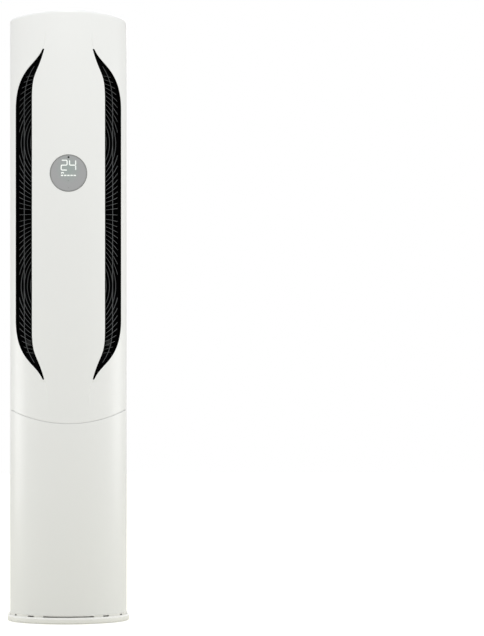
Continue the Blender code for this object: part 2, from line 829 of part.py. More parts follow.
def wedge(name, side, path, width, depth, inset):
    """A rib along a path of (x, z) points on the inset front surface, tapering to the inside."""
    places = [surface_place(x, z, inset, side) for x, z in path]
    sections = []
    for k, (place, outward) in enumerate(places):
        before = places[max(k - 1, 0)][0]
        after = places[min(k + 1, len(places) - 1)][0]
        across = (after - before).cross(outward).normalized() * width / 2
        sections.append([place + across, place - across, place - outward * depth])
    return sweep(name, sections)


def resampled(path, count):
    """The path as the given number of equal runs."""
    lengths = [0.0]
    for a, b in zip(path, path[1:]):
        lengths.append(lengths[-1] + math.dist(a, b))
    points = [path[0]]
    i = 1
    for k in range(1, count):
        target = lengths[-1] * k / count
        while lengths[i] < target:
            i += 1
        share = (target - lengths[i - 1]) / (lengths[i] - lengths[i - 1])
        points.append(tuple(p + (q - p) * share for p, q in zip(path[i - 1], path[i])))
    return points + [path[-1]]


def rib_paths(inner, outer, reach):
    """Rib paths between two edges of the opening: rings about both fan axes, flattening half way."""

    def inside(x, z):
        return abs(z - slot_middle) < reach and crossing(inner, z) < x < crossing(outer, z)

    half = FAN_SPACING / 2
    paths = [[(crossing(inner, slot_middle), slot_middle), (crossing(outer, slot_middle), slot_middle)]]
    radius = RING_FIRST
    while True:
        rise = math.sqrt(max(radius**2 - slot_inner**2, 0.0))
        if rise > half - RING_PITCH / 2:
            return paths
        roundness = 1 - max(0.0, 2 * rise / half - 1) ** 2
        widest = math.acos(min(1.0, (slot_inner - SLOT_LEAN) / radius))
        quarter = []
        for k in range(RIB_SAMPLES + 1):
            x = radius * math.cos(widest * k / RIB_SAMPLES)
            z = radius * math.sin(widest * k / RIB_SAMPLES)
            quarter.append((x, rise + roundness * (z - rise)))
        whole = [(x, -z) for x, z in reversed(quarter[1:])] + quarter
        for fan in fan_heights.values():
            run = []
            for x, z in whole:
                if inside(x, fan + z):
                    run.append((x, fan + z))
                elif run:
                    paths.append(run)
                    run = []
            if run:
                paths.append(run)
        radius += RING_PITCH


def build_guard(name, side):
    """A black moulding behind an outlet: flange, rim, plain band, ring ribs and one long bar."""
    high = slot_top + 2 * GUARD_FLANGE
    low = slot_bottom - 2 * GUARD_FLANGE
    turns = (front_turn(slot_inner - SLOT_LEAN - 2 * GUARD_FLANGE), front_turn(half_width * 0.97))
    if side < 0:
        turns = (180.0 - turns[0], 180.0 - turns[1])

    def slab(setback, depth):
        return front_strip("slab", turns, [(setback, low), (setback, high), (depth, high), (depth, low)])

    def trim(draw, end=0.0, outer=None):
        outer = draw if outer is None else outer
        return prism("trim", "Y", slot_outline(side, draw, outer, end), -2 * FRONT_DEPTH, 0.0)

    wall = GUARD_RIM_WALL
    rim_out = FIT + JOINT_LINE / 2
    rim_in = rim_out + wall
    guard = slab(WALL + FIT, WALL + FIT + GUARD_RIM_WALL)
    guard.name = name
    guard.data.name = name
    combine(guard, "INTERSECT", trim(-GUARD_FLANGE, -GUARD_FLANGE, -GUARD_EDGE_FLANGE))
    combine(guard, "DIFFERENCE", trim(rim_out + wall / 2, rim_out + wall / 2))
    rim = slab(GUARD_RIM_SETBACK, GUARD_RIM_DEPTH)
    combine(rim, "INTERSECT", trim(rim_out, rim_out))
    combine(rim, "DIFFERENCE", trim(rim_in, rim_in))
    face = slab(GUARD_FACE_SETBACK, GUARD_FACE_SETBACK + GUARD_FACE)
    combine(face, "INTERSECT", trim(rim_out + wall / 2, rim_out + wall / 2))
    combine(face, "DIFFERENCE", trim(rim_in - wall / 4, GUARD_BLANK_END, GUARD_BLANK_EDGE))
    combine(guard, "UNION", rim, face)

    inner = shifted(slot_edge(False), rim_in - wall / 2)
    outer = shifted(slot_edge(True), -GUARD_BLANK_EDGE + wall / 2)
    reach = SLOT_LENGTH / 2 - GUARD_BLANK_END + wall / 2
    inset = GUARD_FACE_SETBACK + GUARD_RIB_SETBACK
    ribs = []
    for path in rib_paths(inner, outer, reach):
        count = RIB_SEGMENTS if math.dist(path[0], path[-1]) > SLOT_WIDTH / 3 else 2
        if abs(path[0][1] - path[-1][1]) > SLOT_WIDTH:
            count = 2 * RIB_SEGMENTS
        ribs.append(wedge("rib", side, resampled(path, count), RIB_WIDTH, RIB_DEPTH, inset))
    bar = []
    for k in range(BAR_SEGMENTS + 1):
        z = slot_middle + reach * (1 - 2 * k / BAR_SEGMENTS)
        near = crossing(inner, z)
        bar.append((near + BAR_PLACE * (crossing(slot_edge(True), z) - near), z))
    combine(guard, "UNION", merge("ribs", ribs))
    long_bar = wedge("bar", side, bar, BAR_WIDTH, RIB_DEPTH, inset + GUARD_RIB_SETBACK)
    combine(guard, "UNION", long_bar)
    smooth(guard)
    finish(guard, "black_moulding")
    return guard


# Display


def build_display():
    middle = (0.0, display_height)
    outer = DISPLAY_DIAMETER / 2
    bore = outer - BEZEL_WALL
    lens_radius = bore - FIT
    top = display_height + DISPLAY_DIAMETER
    bottom = display_height - DISPLAY_DIAMETER
    turns = (front_turn(DISPLAY_DIAMETER), front_turn(-DISPLAY_DIAMETER))

    def slab(setback, depth):
        section = [(setback, bottom), (setback, top), (depth, top), (depth, bottom)]
        return front_strip("slab", turns, section)

    cup_back = DISPLAY_CUP_DEPTH - FRONT_DEPTH
    front = -FRONT_DEPTH - WALL
    cup = rod("display_housing", "Y", outer, front, cup_back, middle, ROUND_SEGMENTS)
    front = slab(-DISPLAY_CUP_DEPTH, BEZEL_SETBACK)
    combine(cup, "DIFFERENCE", front)
    floor = cup_back - BEZEL_WALL
    bore_cutter = rod("bore", "Y", bore, -2 * FRONT_DEPTH, floor, middle, ROUND_SEGMENTS)
    combine(cup, "DIFFERENCE", bore_cutter)

    lens = slab(0.0, LENS_THICKNESS)
    lens.name = "display_lens"
    disc = rod("disc", "Y", lens_radius, -2 * FRONT_DEPTH, 0.0, middle, ROUND_SEGMENTS)
    combine(lens, "INTERSECT", disc)
    eye = (0.0, display_height + RECEIVER_RISE)
    radius = RECEIVER_RADIUS + FIT
    combine(lens, "DIFFERENCE", rod("eye", "Y", radius, -2 * FRONT_DEPTH, 0.0, eye))
    receiver = rod("receiver_window", "Y", RECEIVER_RADIUS, 0.0, LENS_THICKNESS)
    receiver.location = (0.0, front_point(90.0).y + JOINT_LINE / 2, eye[1])

    board_radius = bore - FIT
    board = rod("display_board", "Y", board_radius, -BOARD_THICKNESS, 0.0, segments=ROUND_SEGMENTS)
    board.location = (0.0, floor - FIT, display_height)
    for obj, look in (
        (cup, "grey_moulding"), (lens, "display_grey"), (receiver, "smoked_lens"), (board, "board_green"),
    ):
        smooth(obj)
        finish(obj, look)
    return [cup, lens, receiver, board]


# Rear intake and filters


def build_intake_grille():
    """A flush plate with a flange behind it and rows of slots between straight bars."""
    half = intake_half
    edge = FIT + JOINT_LINE / 2
    low = (edge - half, grille_front, intake_bottom + edge)
    high = (half - edge, REAR_DEPTH, intake_top - edge)
    grille = box("rear_intake_grille", low, high)
    over = INTAKE_OVERLAP
    low = (-half - over, grille_front, intake_bottom - over)
    high = (half + over, grille_front + INTAKE_FLANGE, intake_top + over)
    combine(grille, "UNION", box("flange", low, high))
    height = intake_top - intake_bottom - 2 * INTAKE_BORDER
    rows = int((height + INTAKE_BAR) / INTAKE_PITCH)
    first = intake_bottom + INTAKE_BORDER + (height + INTAKE_BAR - rows * INTAKE_PITCH) / 2
    cuts = []
    for row in range(rows):
        z = first + row * INTAKE_PITCH
        for side in (-1, 1):
            ys = (grille_front - WALL, REAR_DEPTH + WALL)
            zs = (z, z + INTAKE_PITCH - INTAKE_BAR)
            cuts.append(sided_box("slot", side, INTAKE_BAR / 2, half - INTAKE_BORDER, ys, zs))
    combine(grille, "DIFFERENCE", merge("slots", cuts))
    finish(grille, "white_shell")
    return grille


def build_rail_frame():
    """Two channels that the filters run in, joined by a middle post that stands on the deck."""
    width = side_x(rail_rear, WALL + RAIL_END_GAP)
    grip = RAIL_GRIP
    objects = []
    for end, way in ((intake_top + FILTER_BORDER, 1), (intake_bottom - FILTER_BORDER, -1)):
        back = end + way * (FIT + RAIL_BACK)
        seat = end + way * FIT
        mouth = end - way * grip
        front = rail_front
        rear = rail_rear
        section = [(front, mouth), (front, back), (rear, back), (rear, mouth)]
        section += [(rear - RAIL_LIP, mouth), (rear - RAIL_LIP, seat)]
        section += [(front + RAIL_LIP, seat), (front + RAIL_LIP, mouth)]
        objects.append(prism("rail", "X", section, -width, width))
    frame = objects[0]
    frame.name = "filter_rail_frame"
    frame.data.name = "filter_rail_frame"
    top = intake_top + FILTER_BORDER + FIT + RAIL_BACK / 2
    post = RAIL_POST / 2
    middle = box("post", (-post, rail_front, deck_top + FIT), (post, rail_rear, top))
    combine(frame, "UNION", objects[1], middle)
    finish(frame, "ivory_moulding")
    return frame


def build_filter(name, side):
    """A frame with cross ribs and a net, and the strip that closes the cabinet's side opening."""
    near = RAIL_POST / 2 + FILTER_GAP
    low = intake_bottom - FILTER_BORDER
    high = intake_top + FILTER_BORDER
    ys = (filter_front, filter_rear)
    strip = shell_ring(name)
    combine(strip, "INTERSECT", handle_zone("strip_zone", side, FIT + JOINT_LINE / 2))
    frame = sided_box("frame", side, near, half_width, ys, (low, high))
    skin = loft("skin", [(WALL / 2, -HEIGHT), (WALL / 2, 2 * HEIGHT)])
    combine(frame, "INTERSECT", skin)
    border = FILTER_BORDER
    inner = side_x(filter_rear, WALL) - border
    pitch = (high - low - border) / (FILTER_RIBS + 1)
    middle = (filter_front + filter_rear) / 2
    cuts = []
    for k in range(FILTER_RIBS + 1):
        zs = (low + border + k * pitch, low + (k + 1) * pitch)
        front = (filter_front - WALL, middle - FILTER_MESH / 2)
        rear = (middle + FILTER_MESH / 2, filter_rear + WALL)
        cuts.append(sided_box("pocket", side, near + border, inner, front, zs))
        cuts.append(sided_box("pocket", side, near + border, inner, rear, zs))
    combine(frame, "DIFFERENCE", merge("pockets", cuts))
    combine(strip, "UNION", frame)
    finish(strip, "white_shell")
    return strip


# Coil and drain


def build_coil():
    size = (2 * coil_half, COIL_DEPTH, coil_top - coil_bottom)
    coil = box("evaporator_coil", (-coil_half, 0.0, 0.0), (coil_half, size[1], size[2]))
    coil.location = (0.0, coil_front, coil_bottom)
    finish(coil, "aluminium_fins")
    return coil


def half_loop(name, radius, tube, middle, side, start):
    """A return bend: half a ring of pipe that stands out from the tube sheet."""
    sections = []
    steps = 4
    for k in range(steps + 1):
        turn = math.pi * k / steps
        out = Vector((side * math.sin(turn), 0.0, math.cos(turn)))
        place = Vector((start, middle[0], middle[1])) + out * radius
        sections.append([place + out * tube * math.cos(a) + Vector((0.0, tube * math.sin(a), 0.0))
                         for a in (math.pi * j / 3 for j in range(6))])
    return sweep(name, sections)


def build_tube_sheet(name, side):
    near = coil_half + FIT
    sheet = sided_box(name, side, near, near + TUBE_SHEET, (coil_front, coil_rear), (coil_bottom, coil_top))
    pitch = (coil_top - coil_bottom) / BEND_COUNT
    bends = []
    for k in range(BEND_COUNT):
        place = ((coil_front + coil_rear) / 2, coil_bottom + (k + 0.5) * pitch)
        start = side * (near + TUBE_SHEET / 2)
        bends.append(half_loop("bend", BEND_RADIUS, BEND_TUBE, place, side, start))
    combine(sheet, "UNION", merge("bends", bends))
    smooth(sheet)
    finish(sheet, "copper")
    return sheet


def build_deck():
    """The steel deck between the air part and the service bay, with holes for the pipes and the drain."""
    deck = loft("service_deck", [(deck_inset, deck_bottom), (deck_inset, deck_top)])
    for place, radius in pipe_places():
        hole = rod("hole", "Z", radius + 2 * FIT, -HEIGHT, 2 * HEIGHT, place)
        combine(deck, "DIFFERENCE", hole)
    drain = rod("drain", "Z", SPOUT_RADIUS + FIT, -HEIGHT, 2 * HEIGHT, spout_place(), PIN_SEGMENTS)
    combine(deck, "DIFFERENCE", drain)
    finish(deck, "sheet_steel")
    return deck


def pipe_places():
    """Plan places and radii of the gas pipe and the liquid pipe."""
    x = half_width - PIPE_EDGE
    y = (coil_front + coil_rear) / 2
    return (((x, y - PIPE_PITCH / 2), PIPE_GAS), ((x, y + PIPE_PITCH / 2), PIPE_LIQUID))


def spout_place():
    return (-pan_half / 2, (coil_front + coil_rear) / 2)


def build_pan():
    ys = (coil_front - PAN_WALL - FIT, coil_rear + PAN_WALL + FIT)
    pan = box("drain_pan", (-pan_half, ys[0], pan_bottom), (pan_half, ys[1], pan_bottom + PAN_HEIGHT))
    wall = PAN_WALL
    low = (wall - pan_half, ys[0] + wall, pan_bottom + wall)
    high = (pan_half - wall, ys[1] - wall, pan_bottom + 2 * PAN_HEIGHT)
    combine(pan, "DIFFERENCE", box("inside", low, high))
    drain = rod("drain", "Z", SPOUT_RADIUS + FIT, -HEIGHT, 2 * HEIGHT, spout_place(), PIN_SEGMENTS)
    combine(pan, "DIFFERENCE", drain)
    finish(pan, "foam_white")
    return pan


def build_spout():
    """The drain spout, pushed up through the deck into the pan's floor."""
    low = -SPOUT_LENGTH
    collar = -DECK_THICKNESS - FIT
    profile = [
        (SPOUT_BORE, low), (SPOUT_RADIUS, low), (SPOUT_RADIUS, collar - WALL), (SPOUT_COLLAR, collar - WALL),
        (SPOUT_COLLAR, collar), (SPOUT_RADIUS, collar), (SPOUT_RADIUS, PAN_WALL), (SPOUT_BORE, PAN_WALL),
    ]
    spout = lathe("drain_spout", "Z", profile, PIN_SEGMENTS)
    spout.location = (*spout_place(), deck_top)
    smooth(spout)
    finish(spout, "ivory_moulding")
    return spout


# Fans, orifice plate and motors


def build_orifice_plate():
    half = half_width - ORIFICE_SIDE
    high = slot_top - BULKHEAD_TOP_DROP
    low = deck_top + FIT
    plate = box("orifice_plate", (-half, orifice_front, low), (half, orifice_rear, high))
    for z in fan_heights.values():
        radius = MOUTH_RADIUS - ORIFICE_THICKNESS
        hole = rod("mouth", "Y", radius, 0.0, REAR_DEPTH, (0.0, z), FAN_SEGMENTS)
        combine(plate, "DIFFERENCE", hole)
        profile = []
        for skin in (0.0, 1.0):
            run = []
            for k in range(ARC_SEGMENTS):
                angle = math.pi / 2 * k / (ARC_SEGMENTS - 1)
                grow = skin * ORIFICE_THICKNESS
                across = MOUTH_RADIUS - THROAT_RADIUS - grow
                down = MOUTH_DEPTH - grow
                run.append((MOUTH_RADIUS - across * math.sin(angle), orifice_rear - MOUTH_DEPTH
                            + down * math.cos(angle)))
            profile += run if skin == 0 else list(reversed(run))
        bell = lathe("bell", "Y", profile, FAN_SEGMENTS)
        for vertex in bell.data.vertices:
            vertex.co.z += z
        combine(plate, "UNION", bell)
    smooth(plate)
    finish(plate, "ivory_moulding")
    return plate


def fan_plate():
    """The fan's dished back plate, as (radius, rise) points on its inlet side."""
    bore = SHAFT_RADIUS + FIT
    return [
        (bore, HUB_RISE), (HUB_RADIUS, HUB_RISE), (DISH_RADIUS, DISH_RISE),
        (FAN_RADIUS - RIM_FLAT, FAN_SKIN * 1.4), (FAN_RADIUS, FAN_SKIN),
    ]


def rise_at(points, radius):
    for (r0, y0), (r1, y1) in zip(points, points[1:]):
        if r0 <= radius <= r1:
            return y0 + (y1 - y0) * (radius - r0) / (r1 - r0)
    return points[-1][1]


def build_fan(name):
    """A turbo fan: dished back plate, backward-curved blades and a shroud with the inlet ring."""
    skin = FAN_SKIN
    plate = fan_plate()
    under = [(r, rise - skin) for r, rise in reversed(plate[2:])]
    boss = HUB_RISE - HUB_LENGTH
    fan = lathe(name, "Y", plate + under + [(HUB_RADIUS, boss), (SHAFT_RADIUS + FIT, boss)], FAN_SEGMENTS)

    depth = FAN_DEPTH
    shroud_line = [(FAN_INLET + skin / 2, depth - SHROUD_CURL), (FAN_RADIUS, SHROUD_RIM + skin / 2)]
    shroud = lathe(
        "shroud", "Y",
        [
            (FAN_INLET, depth), (FAN_INLET + skin, depth), (FAN_INLET + 2 * skin, depth - SHROUD_CURL),
            (FAN_RADIUS, SHROUD_RIM + skin), (FAN_RADIUS, SHROUD_RIM),
            (FAN_INLET + skin, depth - SHROUD_CURL - skin), (FAN_INLET, depth - SHROUD_CURL / 2),
        ],
        FAN_SEGMENTS,
    )
    floor_line = [(r, rise - skin / 2) for r, rise in plate]
    top_line = [(BLADE_INNER, depth * BLADE_INNER_HEIGHT)] + shroud_line
    blades = []
    for blade in range(BLADE_COUNT):
        start = 2 * math.pi * blade / BLADE_COUNT
        sections = []
        for k in range(BLADE_STATIONS + 1):
            share = k / BLADE_STATIONS
            radius = BLADE_INNER + (FAN_RADIUS - skin / 4 - BLADE_INNER) * share
            turn = start - math.radians(BLADE_SWEEP) * share
            spin = math.radians(BLADE_SWEEP) / (FAN_RADIUS - BLADE_INNER)
            out = Vector((math.cos(turn), 0.0, math.sin(turn)))
            around = Vector((-math.sin(turn), 0.0, math.cos(turn)))
            run = (out - around * radius * spin).normalized()
            aside = Vector((run.z, 0.0, -run.x)) * BLADE_THICKNESS / 2
            low = Vector((0.0, rise_at(floor_line, radius), 0.0))
            high = Vector((0.0, rise_at(top_line, radius), 0.0))
            place = out * radius
            corners = ((aside, low), (-aside, low), (-aside, high), (aside, high))
            sections.append([place + across + up for across, up in corners])
        blades.append(sweep("blade", sections))
    combine(fan, "UNION", merge("blades", blades), shroud)
    smooth(fan)
    finish(fan, "grey_moulding")
    return fan


def build_fan_set(level, assembly):
    """One fan with its shaft, nut and motor. The turning pieces share an empty on the fan's axis."""
    z = fan_heights[level]
    axis = empty(f"fan_axis_{level}", (0.0, fan_front, z), assembly)
    fan = build_fan(f"fan_{level}")
    shaft_end = HUB_RISE + NUT_HEIGHT + 2 * SHAFT_RADIUS
    inside = -MOTOR_TO_FAN - MOTOR_LENGTH * 0.75
    shaft = rod(f"fan_shaft_{level}", "Y", SHAFT_RADIUS, inside, shaft_end)
    nut = rod(f"fan_nut_{level}", "Y", NUT_RADIUS, HUB_RISE + FIT, HUB_RISE + NUT_HEIGHT, segments=6)
    combine(nut, "DIFFERENCE", rod("bore", "Y", SHAFT_RADIUS + FIT, 0.0, FAN_DEPTH))
    for obj in (fan, shaft, nut):
        obj.parent = axis
    bore = SHAFT_RADIUS + FIT
    edge = MOTOR_ROUND
    motor = lathe(
        f"fan_motor_{level}", "Y",
        [
            (bore, 0.0), (MOTOR_RADIUS - edge, 0.0), (MOTOR_RADIUS, -edge),
            (MOTOR_RADIUS, edge - MOTOR_LENGTH), (MOTOR_FLANGE, edge - MOTOR_LENGTH),
            (MOTOR_FLANGE, -MOTOR_LENGTH), (bore, -MOTOR_LENGTH),
        ],
        MOTOR_SEGMENTS,
    )
    motor.location = (0.0, motor_front, z)
    motor.parent = assembly
    for obj, look in ((shaft, "machined_steel"), (nut, "machined_steel"), (motor, "sheet_steel")):
        smooth(obj)
        finish(obj, look)


def duct_line(y):
    """The x of the bulkhead's slanted rear face at a depth, on the right-hand side."""
    (x0, y0), (x1, y1) = duct_face()
    return x0 + (x1 - x0) * (y - y0) / (y1 - y0)


def duct_face():
    """Ends of the bulkhead's slanted rear face: at the flat part, and behind the outlet guard."""
    edge = front_point(front_turn(slot_inner, GUARD_RIM_DEPTH), GUARD_RIM_DEPTH + DUCT_EDGE_GAP)
    slant = Vector((edge.x - BULKHEAD_HALF, edge.y - bulkhead_front)).normalized()
    across = BULKHEAD_SHEET / abs(slant.y)
    fold = BULKHEAD_HALF + across + (bulkhead_rear - bulkhead_front) * slant.x / slant.y
    return (fold, bulkhead_rear), (edge.x, edge.y)


def build_bulkhead():
    """The folded sheet that carries the motors and parts the two outlet ducts."""
    (fold, rear), (edge_x, edge_y) = duct_face()
    across = fold - BULKHEAD_HALF + BULKHEAD_SHEET / 4
    front = [(-BULKHEAD_HALF, bulkhead_front), (BULKHEAD_HALF, bulkhead_front)]
    outline = [(across - edge_x, edge_y)] + front + [(edge_x - across, edge_y), (edge_x, edge_y)]
    outline += [(fold, rear), (-fold, rear), (-edge_x, edge_y)]
    high = slot_top - BULKHEAD_TOP_DROP
    bulkhead = prism("motor_bulkhead", "Z", outline, deck_top + FIT, high)
    finish(bulkhead, "sheet_steel")
    return bulkhead


# Vanes


def vane_frame():
    """Plan places of the right-hand pivots, inner then outer, and directions along and across the vanes."""
    turn = front_turn(slot_outer)
    chord = (front_point(turn) - front_point(turn, 1.0)).normalized()
    pair = Vector((-chord.y, chord.x))
    middle = front_point(turn, VANE_INSET)
    return middle - pair * VANE_SPACING / 2, middle + pair * VANE_SPACING / 2, chord, pair


def build_vane(name):
    """A flat vane on its pivot axis, with pins, a foot shoulder and a crank pin."""
    half = VANE_CHORD / 2
    thick = VANE_THICKNESS / 2
    outline = [(-half, 0.0), (-half / 2, -thick * 0.8), (half / 3, -thick), (half, 0.0),
               (half / 3, thick), (-half / 2, thick * 0.8)]
    vane = prism(name, "Z", outline, 0.0, VANE_LENGTH)
    top = VANE_LENGTH + VANE_END_GAP + BEARING_THICKNESS + VANE_PIN_PROUD
    low = -VANE_END_GAP - BEARING_THICKNESS - VANE_DRIVE_PIN
    root = VANE_LENGTH * 0.01
    crank_top = VANE_LENGTH + VANE_END_GAP - FIT
    pins = [
        rod("pin", "Z", VANE_PIN, VANE_LENGTH - root, top),
        rod("pin", "Z", VANE_PIN, low, root),
        rod("crank", "Z", CRANK_PIN, VANE_LENGTH - root, crank_top, (-CRANK_THROW, 0.0)),
    ]
    shoulder = rod("shoulder", "Z", 2 * VANE_PIN, FIT - VANE_END_GAP, root / 2)
    combine(vane, "UNION", *pins, shoulder)
    smooth(vane)
    finish(vane, "black_moulding")
    return vane


def build_link(name, pair):
    """The bar between the two crank pins, with more room at its open end."""
    span = pair.length
    half = LINK_WIDTH / 2
    outline = []
    for middle, start in ((span, -90.0), (0.0, 90.0)):
        for k in range(ARC_SEGMENTS + 1):
            angle = math.radians(start + 180.0 * k / ARC_SEGMENTS)
            outline.append((middle + half * math.cos(angle), half * math.sin(angle)))
    link = prism(name, "Z", outline, 0.0, LINK_THICKNESS)
    near = CRANK_PIN + FIT
    combine(link, "DIFFERENCE", rod("hole", "Z", near, -WALL, 2 * WALL))
    combine(link, "DIFFERENCE", rod("hole", "Z", near + LINK_OPEN_PIVOT, -WALL, 2 * WALL, (span, 0.0)))
    finish(link, "black_moulding")
    return link


def build_vane_set(hand, side, assembly):
    """Two vanes behind one outlet, their link, their bearing plates and their motor."""
    inner, outer, chord, pair = vane_frame()
    low = slot_middle - VANE_LENGTH / 2
    heading = math.atan2(chord.y, side * chord.x)
    for place, name in ((inner, f"vane_{hand}_inner"), (outer, f"vane_{hand}_outer")):
        pivot = empty(f"{name}_axis", (side * place.x, place.y, low), assembly)
        pivot.rotation_euler = (0.0, 0.0, heading)
        vane = build_vane(name)
        vane.parent = pivot
    crank = inner - chord * CRANK_THROW
    link = build_link(f"vane_link_{hand}", pair * VANE_SPACING)
    link.location = (side * crank.x, crank.y, low + VANE_LENGTH + LINK_LIFT)
    link.rotation_euler = (0.0, 0.0, math.atan2(pair.y, side * pair.x))
    link.parent = assembly

    reach = BEARING_MARGIN
    corner = inner + chord * reach - pair * reach / 2
    outline = [
        (duct_line(corner.y) + FIT, corner.y), tuple(corner), tuple(outer + pair * reach + chord * reach),
        tuple(outer + pair * reach - chord * reach), (duct_line(inner.y + reach) + FIT, inner.y + reach),
    ]
    outline = [(side * x, y) for x, y in outline]
    heights = {
        "lower": low - VANE_END_GAP - BEARING_THICKNESS,
        "upper": low + VANE_LENGTH + VANE_END_GAP,
    }
    for level, z in heights.items():
        plate = prism(f"vane_bearing_{level}_{hand}", "Z", outline, z, z + BEARING_THICKNESS)
        for place in (inner, outer):
            hole = rod("hole", "Z", VANE_PIN + FIT, 0.0, 2 * HEIGHT, (side * place.x, place.y))
            combine(plate, "DIFFERENCE", hole)
        plate.parent = assembly
        finish(plate, "grey_moulding")
    name = f"vane_motor_{hand}"
    motor = rod(name, "Z", VANE_MOTOR_RADIUS, -VANE_MOTOR_HEIGHT, 0.0, segments=MOTOR_SEGMENTS)
    socket = rod("socket", "Z", VANE_PIN + FIT, -VANE_DRIVE_PIN - JOINT_LINE, WALL)
    combine(motor, "DIFFERENCE", socket)
    motor.location = (side * inner.x, inner.y, heights["lower"] - FIT)
    motor.parent = assembly
    smooth(motor)
    finish(motor, "sheet_steel")


# Service bay


def build_pipe(name, start_height, place, radius, end_height):
    """A pipe from the tube sheet out, round a bend and down through the deck."""
    x, y = place
    start = coil_half + TUBE_SHEET + 2 * FIT
    bend = PIPE_BEND
    path = [(start, y, start_height)]
    for k in range(ARC_SEGMENTS + 1):
        angle = math.pi / 2 * k / ARC_SEGMENTS
        path.append((x - bend + bend * math.sin(angle), y, start_height - bend + bend * math.cos(angle)))
    path.append((x, y, end_height))
    curve = bpy.data.curves.new(name, "CURVE")
    curve.dimensions = "3D"
    curve.bevel_depth = radius
    curve.bevel_resolution = 1
    curve.use_fill_caps = True
    spline = curve.splines.new("POLY")
    spline.points.add(len(path) - 1)
    for point, co in zip(spline.points, path):
        point.co = (*co, 1.0)
    pipe = bpy.data.objects.new(name, curve)
    bpy.context.scene.collection.objects.link(pipe)
    return pipe


def build_pipes():
    pieces = []
    pitch = (coil_top - coil_bottom) / BEND_COUNT
    names = (("gas", 2), ("liquid", 1))
    for (name, level), (place, radius), drop in zip(names, pipe_places(), PIPE_DROPS):
        end = deck_bottom - drop
        pipe = build_pipe(f"{name}_pipe", coil_bottom + level * pitch, place, radius, end)
        finish(pipe, "copper")
        nut = rod(f"{name}_flare_nut", "Z", radius * NUT_GROW, 0.0, FLARE_NUT_HEIGHT, segments=6)
        combine(nut, "DIFFERENCE", rod("bore", "Z", radius + FIT, -WALL, 2 * FLARE_NUT_HEIGHT))
        nut.location = (*place, end)
        finish(nut, "brass")
        pieces += [pipe, nut]
    return pieces


def build_control_box():
    width, depth, height = CONTROL_BOX
    sheet = CONTROL_BOX_SHEET
    case = box("control_box", (-width / 2, 0.0, -height), (width / 2, depth, 0.0))
    low = (sheet - width / 2, -depth, sheet - height)
    high = (width / 2 - sheet, depth - sheet, -sheet)
    combine(case, "DIFFERENCE", box("inside", low, high))
    lid = box("control_box_lid", (-width / 2, -FIT - CONTROL_LID, -height), (width / 2, -FIT, 0.0))
    edge = sheet + FIT
    rear = depth - sheet - BOARD_STANDOFF
    board = box(
        "control_board", (edge - width / 2, rear - BOARD_THICKNESS, edge - height),
        (width / 2 - edge, rear, -edge),
    )
    block_width, block_depth, block_height = TERMINAL_BLOCK
    top = -height - FIT
    block = box(
        "terminal_block", (-block_width / 2, 0.0, top - block_height),
        (block_width / 2, block_depth / 2, top),
    )
    pitch = (block_width - BASE_RIB / 2) / TERMINAL_BARRIERS
    for k in range(TERMINAL_BARRIERS + 1):
        x = k * pitch - block_width / 2
        low = (x, block_depth / 4, top - block_height)
        barrier = box("barrier", low, (x + BASE_RIB / 2, block_depth, top))
        combine(block, "UNION", barrier)
    pieces = {case: "sheet_steel", lid: "sheet_steel", board: "board_green", block: "ivory_moulding"}
    for obj, look in pieces.items():
        obj.location = (0.0, CONTROL_BOX_FRONT - FRONT_DEPTH, deck_bottom - FIT)
        finish(obj, look)
    return list(pieces)


def build_grommet(name, radius, place, look):
    """A grooved ring pressed into an exit in the flat back."""
    lip = radius + GROMMET_LIP
    neck = radius - FIT
    bore = radius - GROMMET_LIP / 2
    outer = REAR_DEPTH + FIT
    inner = REAR_DEPTH - WALL - FIT
    profile = [
        (bore, outer + GROMMET_SKIN), (lip, outer + GROMMET_SKIN), (lip, outer), (neck, outer),
        (neck, inner), (lip, inner), (lip, inner - GROMMET_SKIN), (bore, inner - GROMMET_SKIN),
    ]
    segments = EXIT_SEGMENTS if radius > SPOUT_COLLAR else PIN_SEGMENTS
    grommet = lathe(name, "Y", profile, segments)
    grommet.location = (place[0], 0.0, place[1])
    smooth(grommet)
    finish(grommet, look)
    return grommet


def build_tower():
    clear_scene()
    assembly = empty("air_conditioner", (0.0, 0.0, 0.0))
    pieces = [
        build_base(), build_lower_cover(), build_front_panel(), build_rear_cabinet(), build_top_cover(),
        build_guard("outlet_guard_left", -1), build_guard("outlet_guard_right", 1),
        build_intake_grille(), build_rail_frame(),
        build_filter("filter_left", -1), build_filter("filter_right", 1),
        build_coil(), build_tube_sheet("tube_sheet_left", -1), build_tube_sheet("tube_sheet_right", 1),
        build_deck(), build_pan(), build_spout(), build_orifice_plate(), build_bulkhead(),
        build_grommet("pipe_grommet", PIPE_EXIT_RADIUS, (0.0, PIPE_EXIT_HEIGHT), "rubber"),
        build_grommet("power_cord_gland", CORD_EXIT_RADIUS, (CORD_EXIT_SIDE, CORD_EXIT_HEIGHT), "rubber"),
    ]
    pieces += build_feet() + build_display() + build_pipes() + build_control_box()
    for obj in pieces:
        obj.parent = assembly
    for level in fan_heights:
        build_fan_set(level, assembly)
    for hand, side in (("left", -1), ("right", 1)):
        build_vane_set(hand, side, assembly)


build_tower()
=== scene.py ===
from functools import lru_cache
from math import acos, cos, exp, hypot, pi, radians, sin, sqrt

import bmesh
import bpy
from mathutils import Matrix, Vector


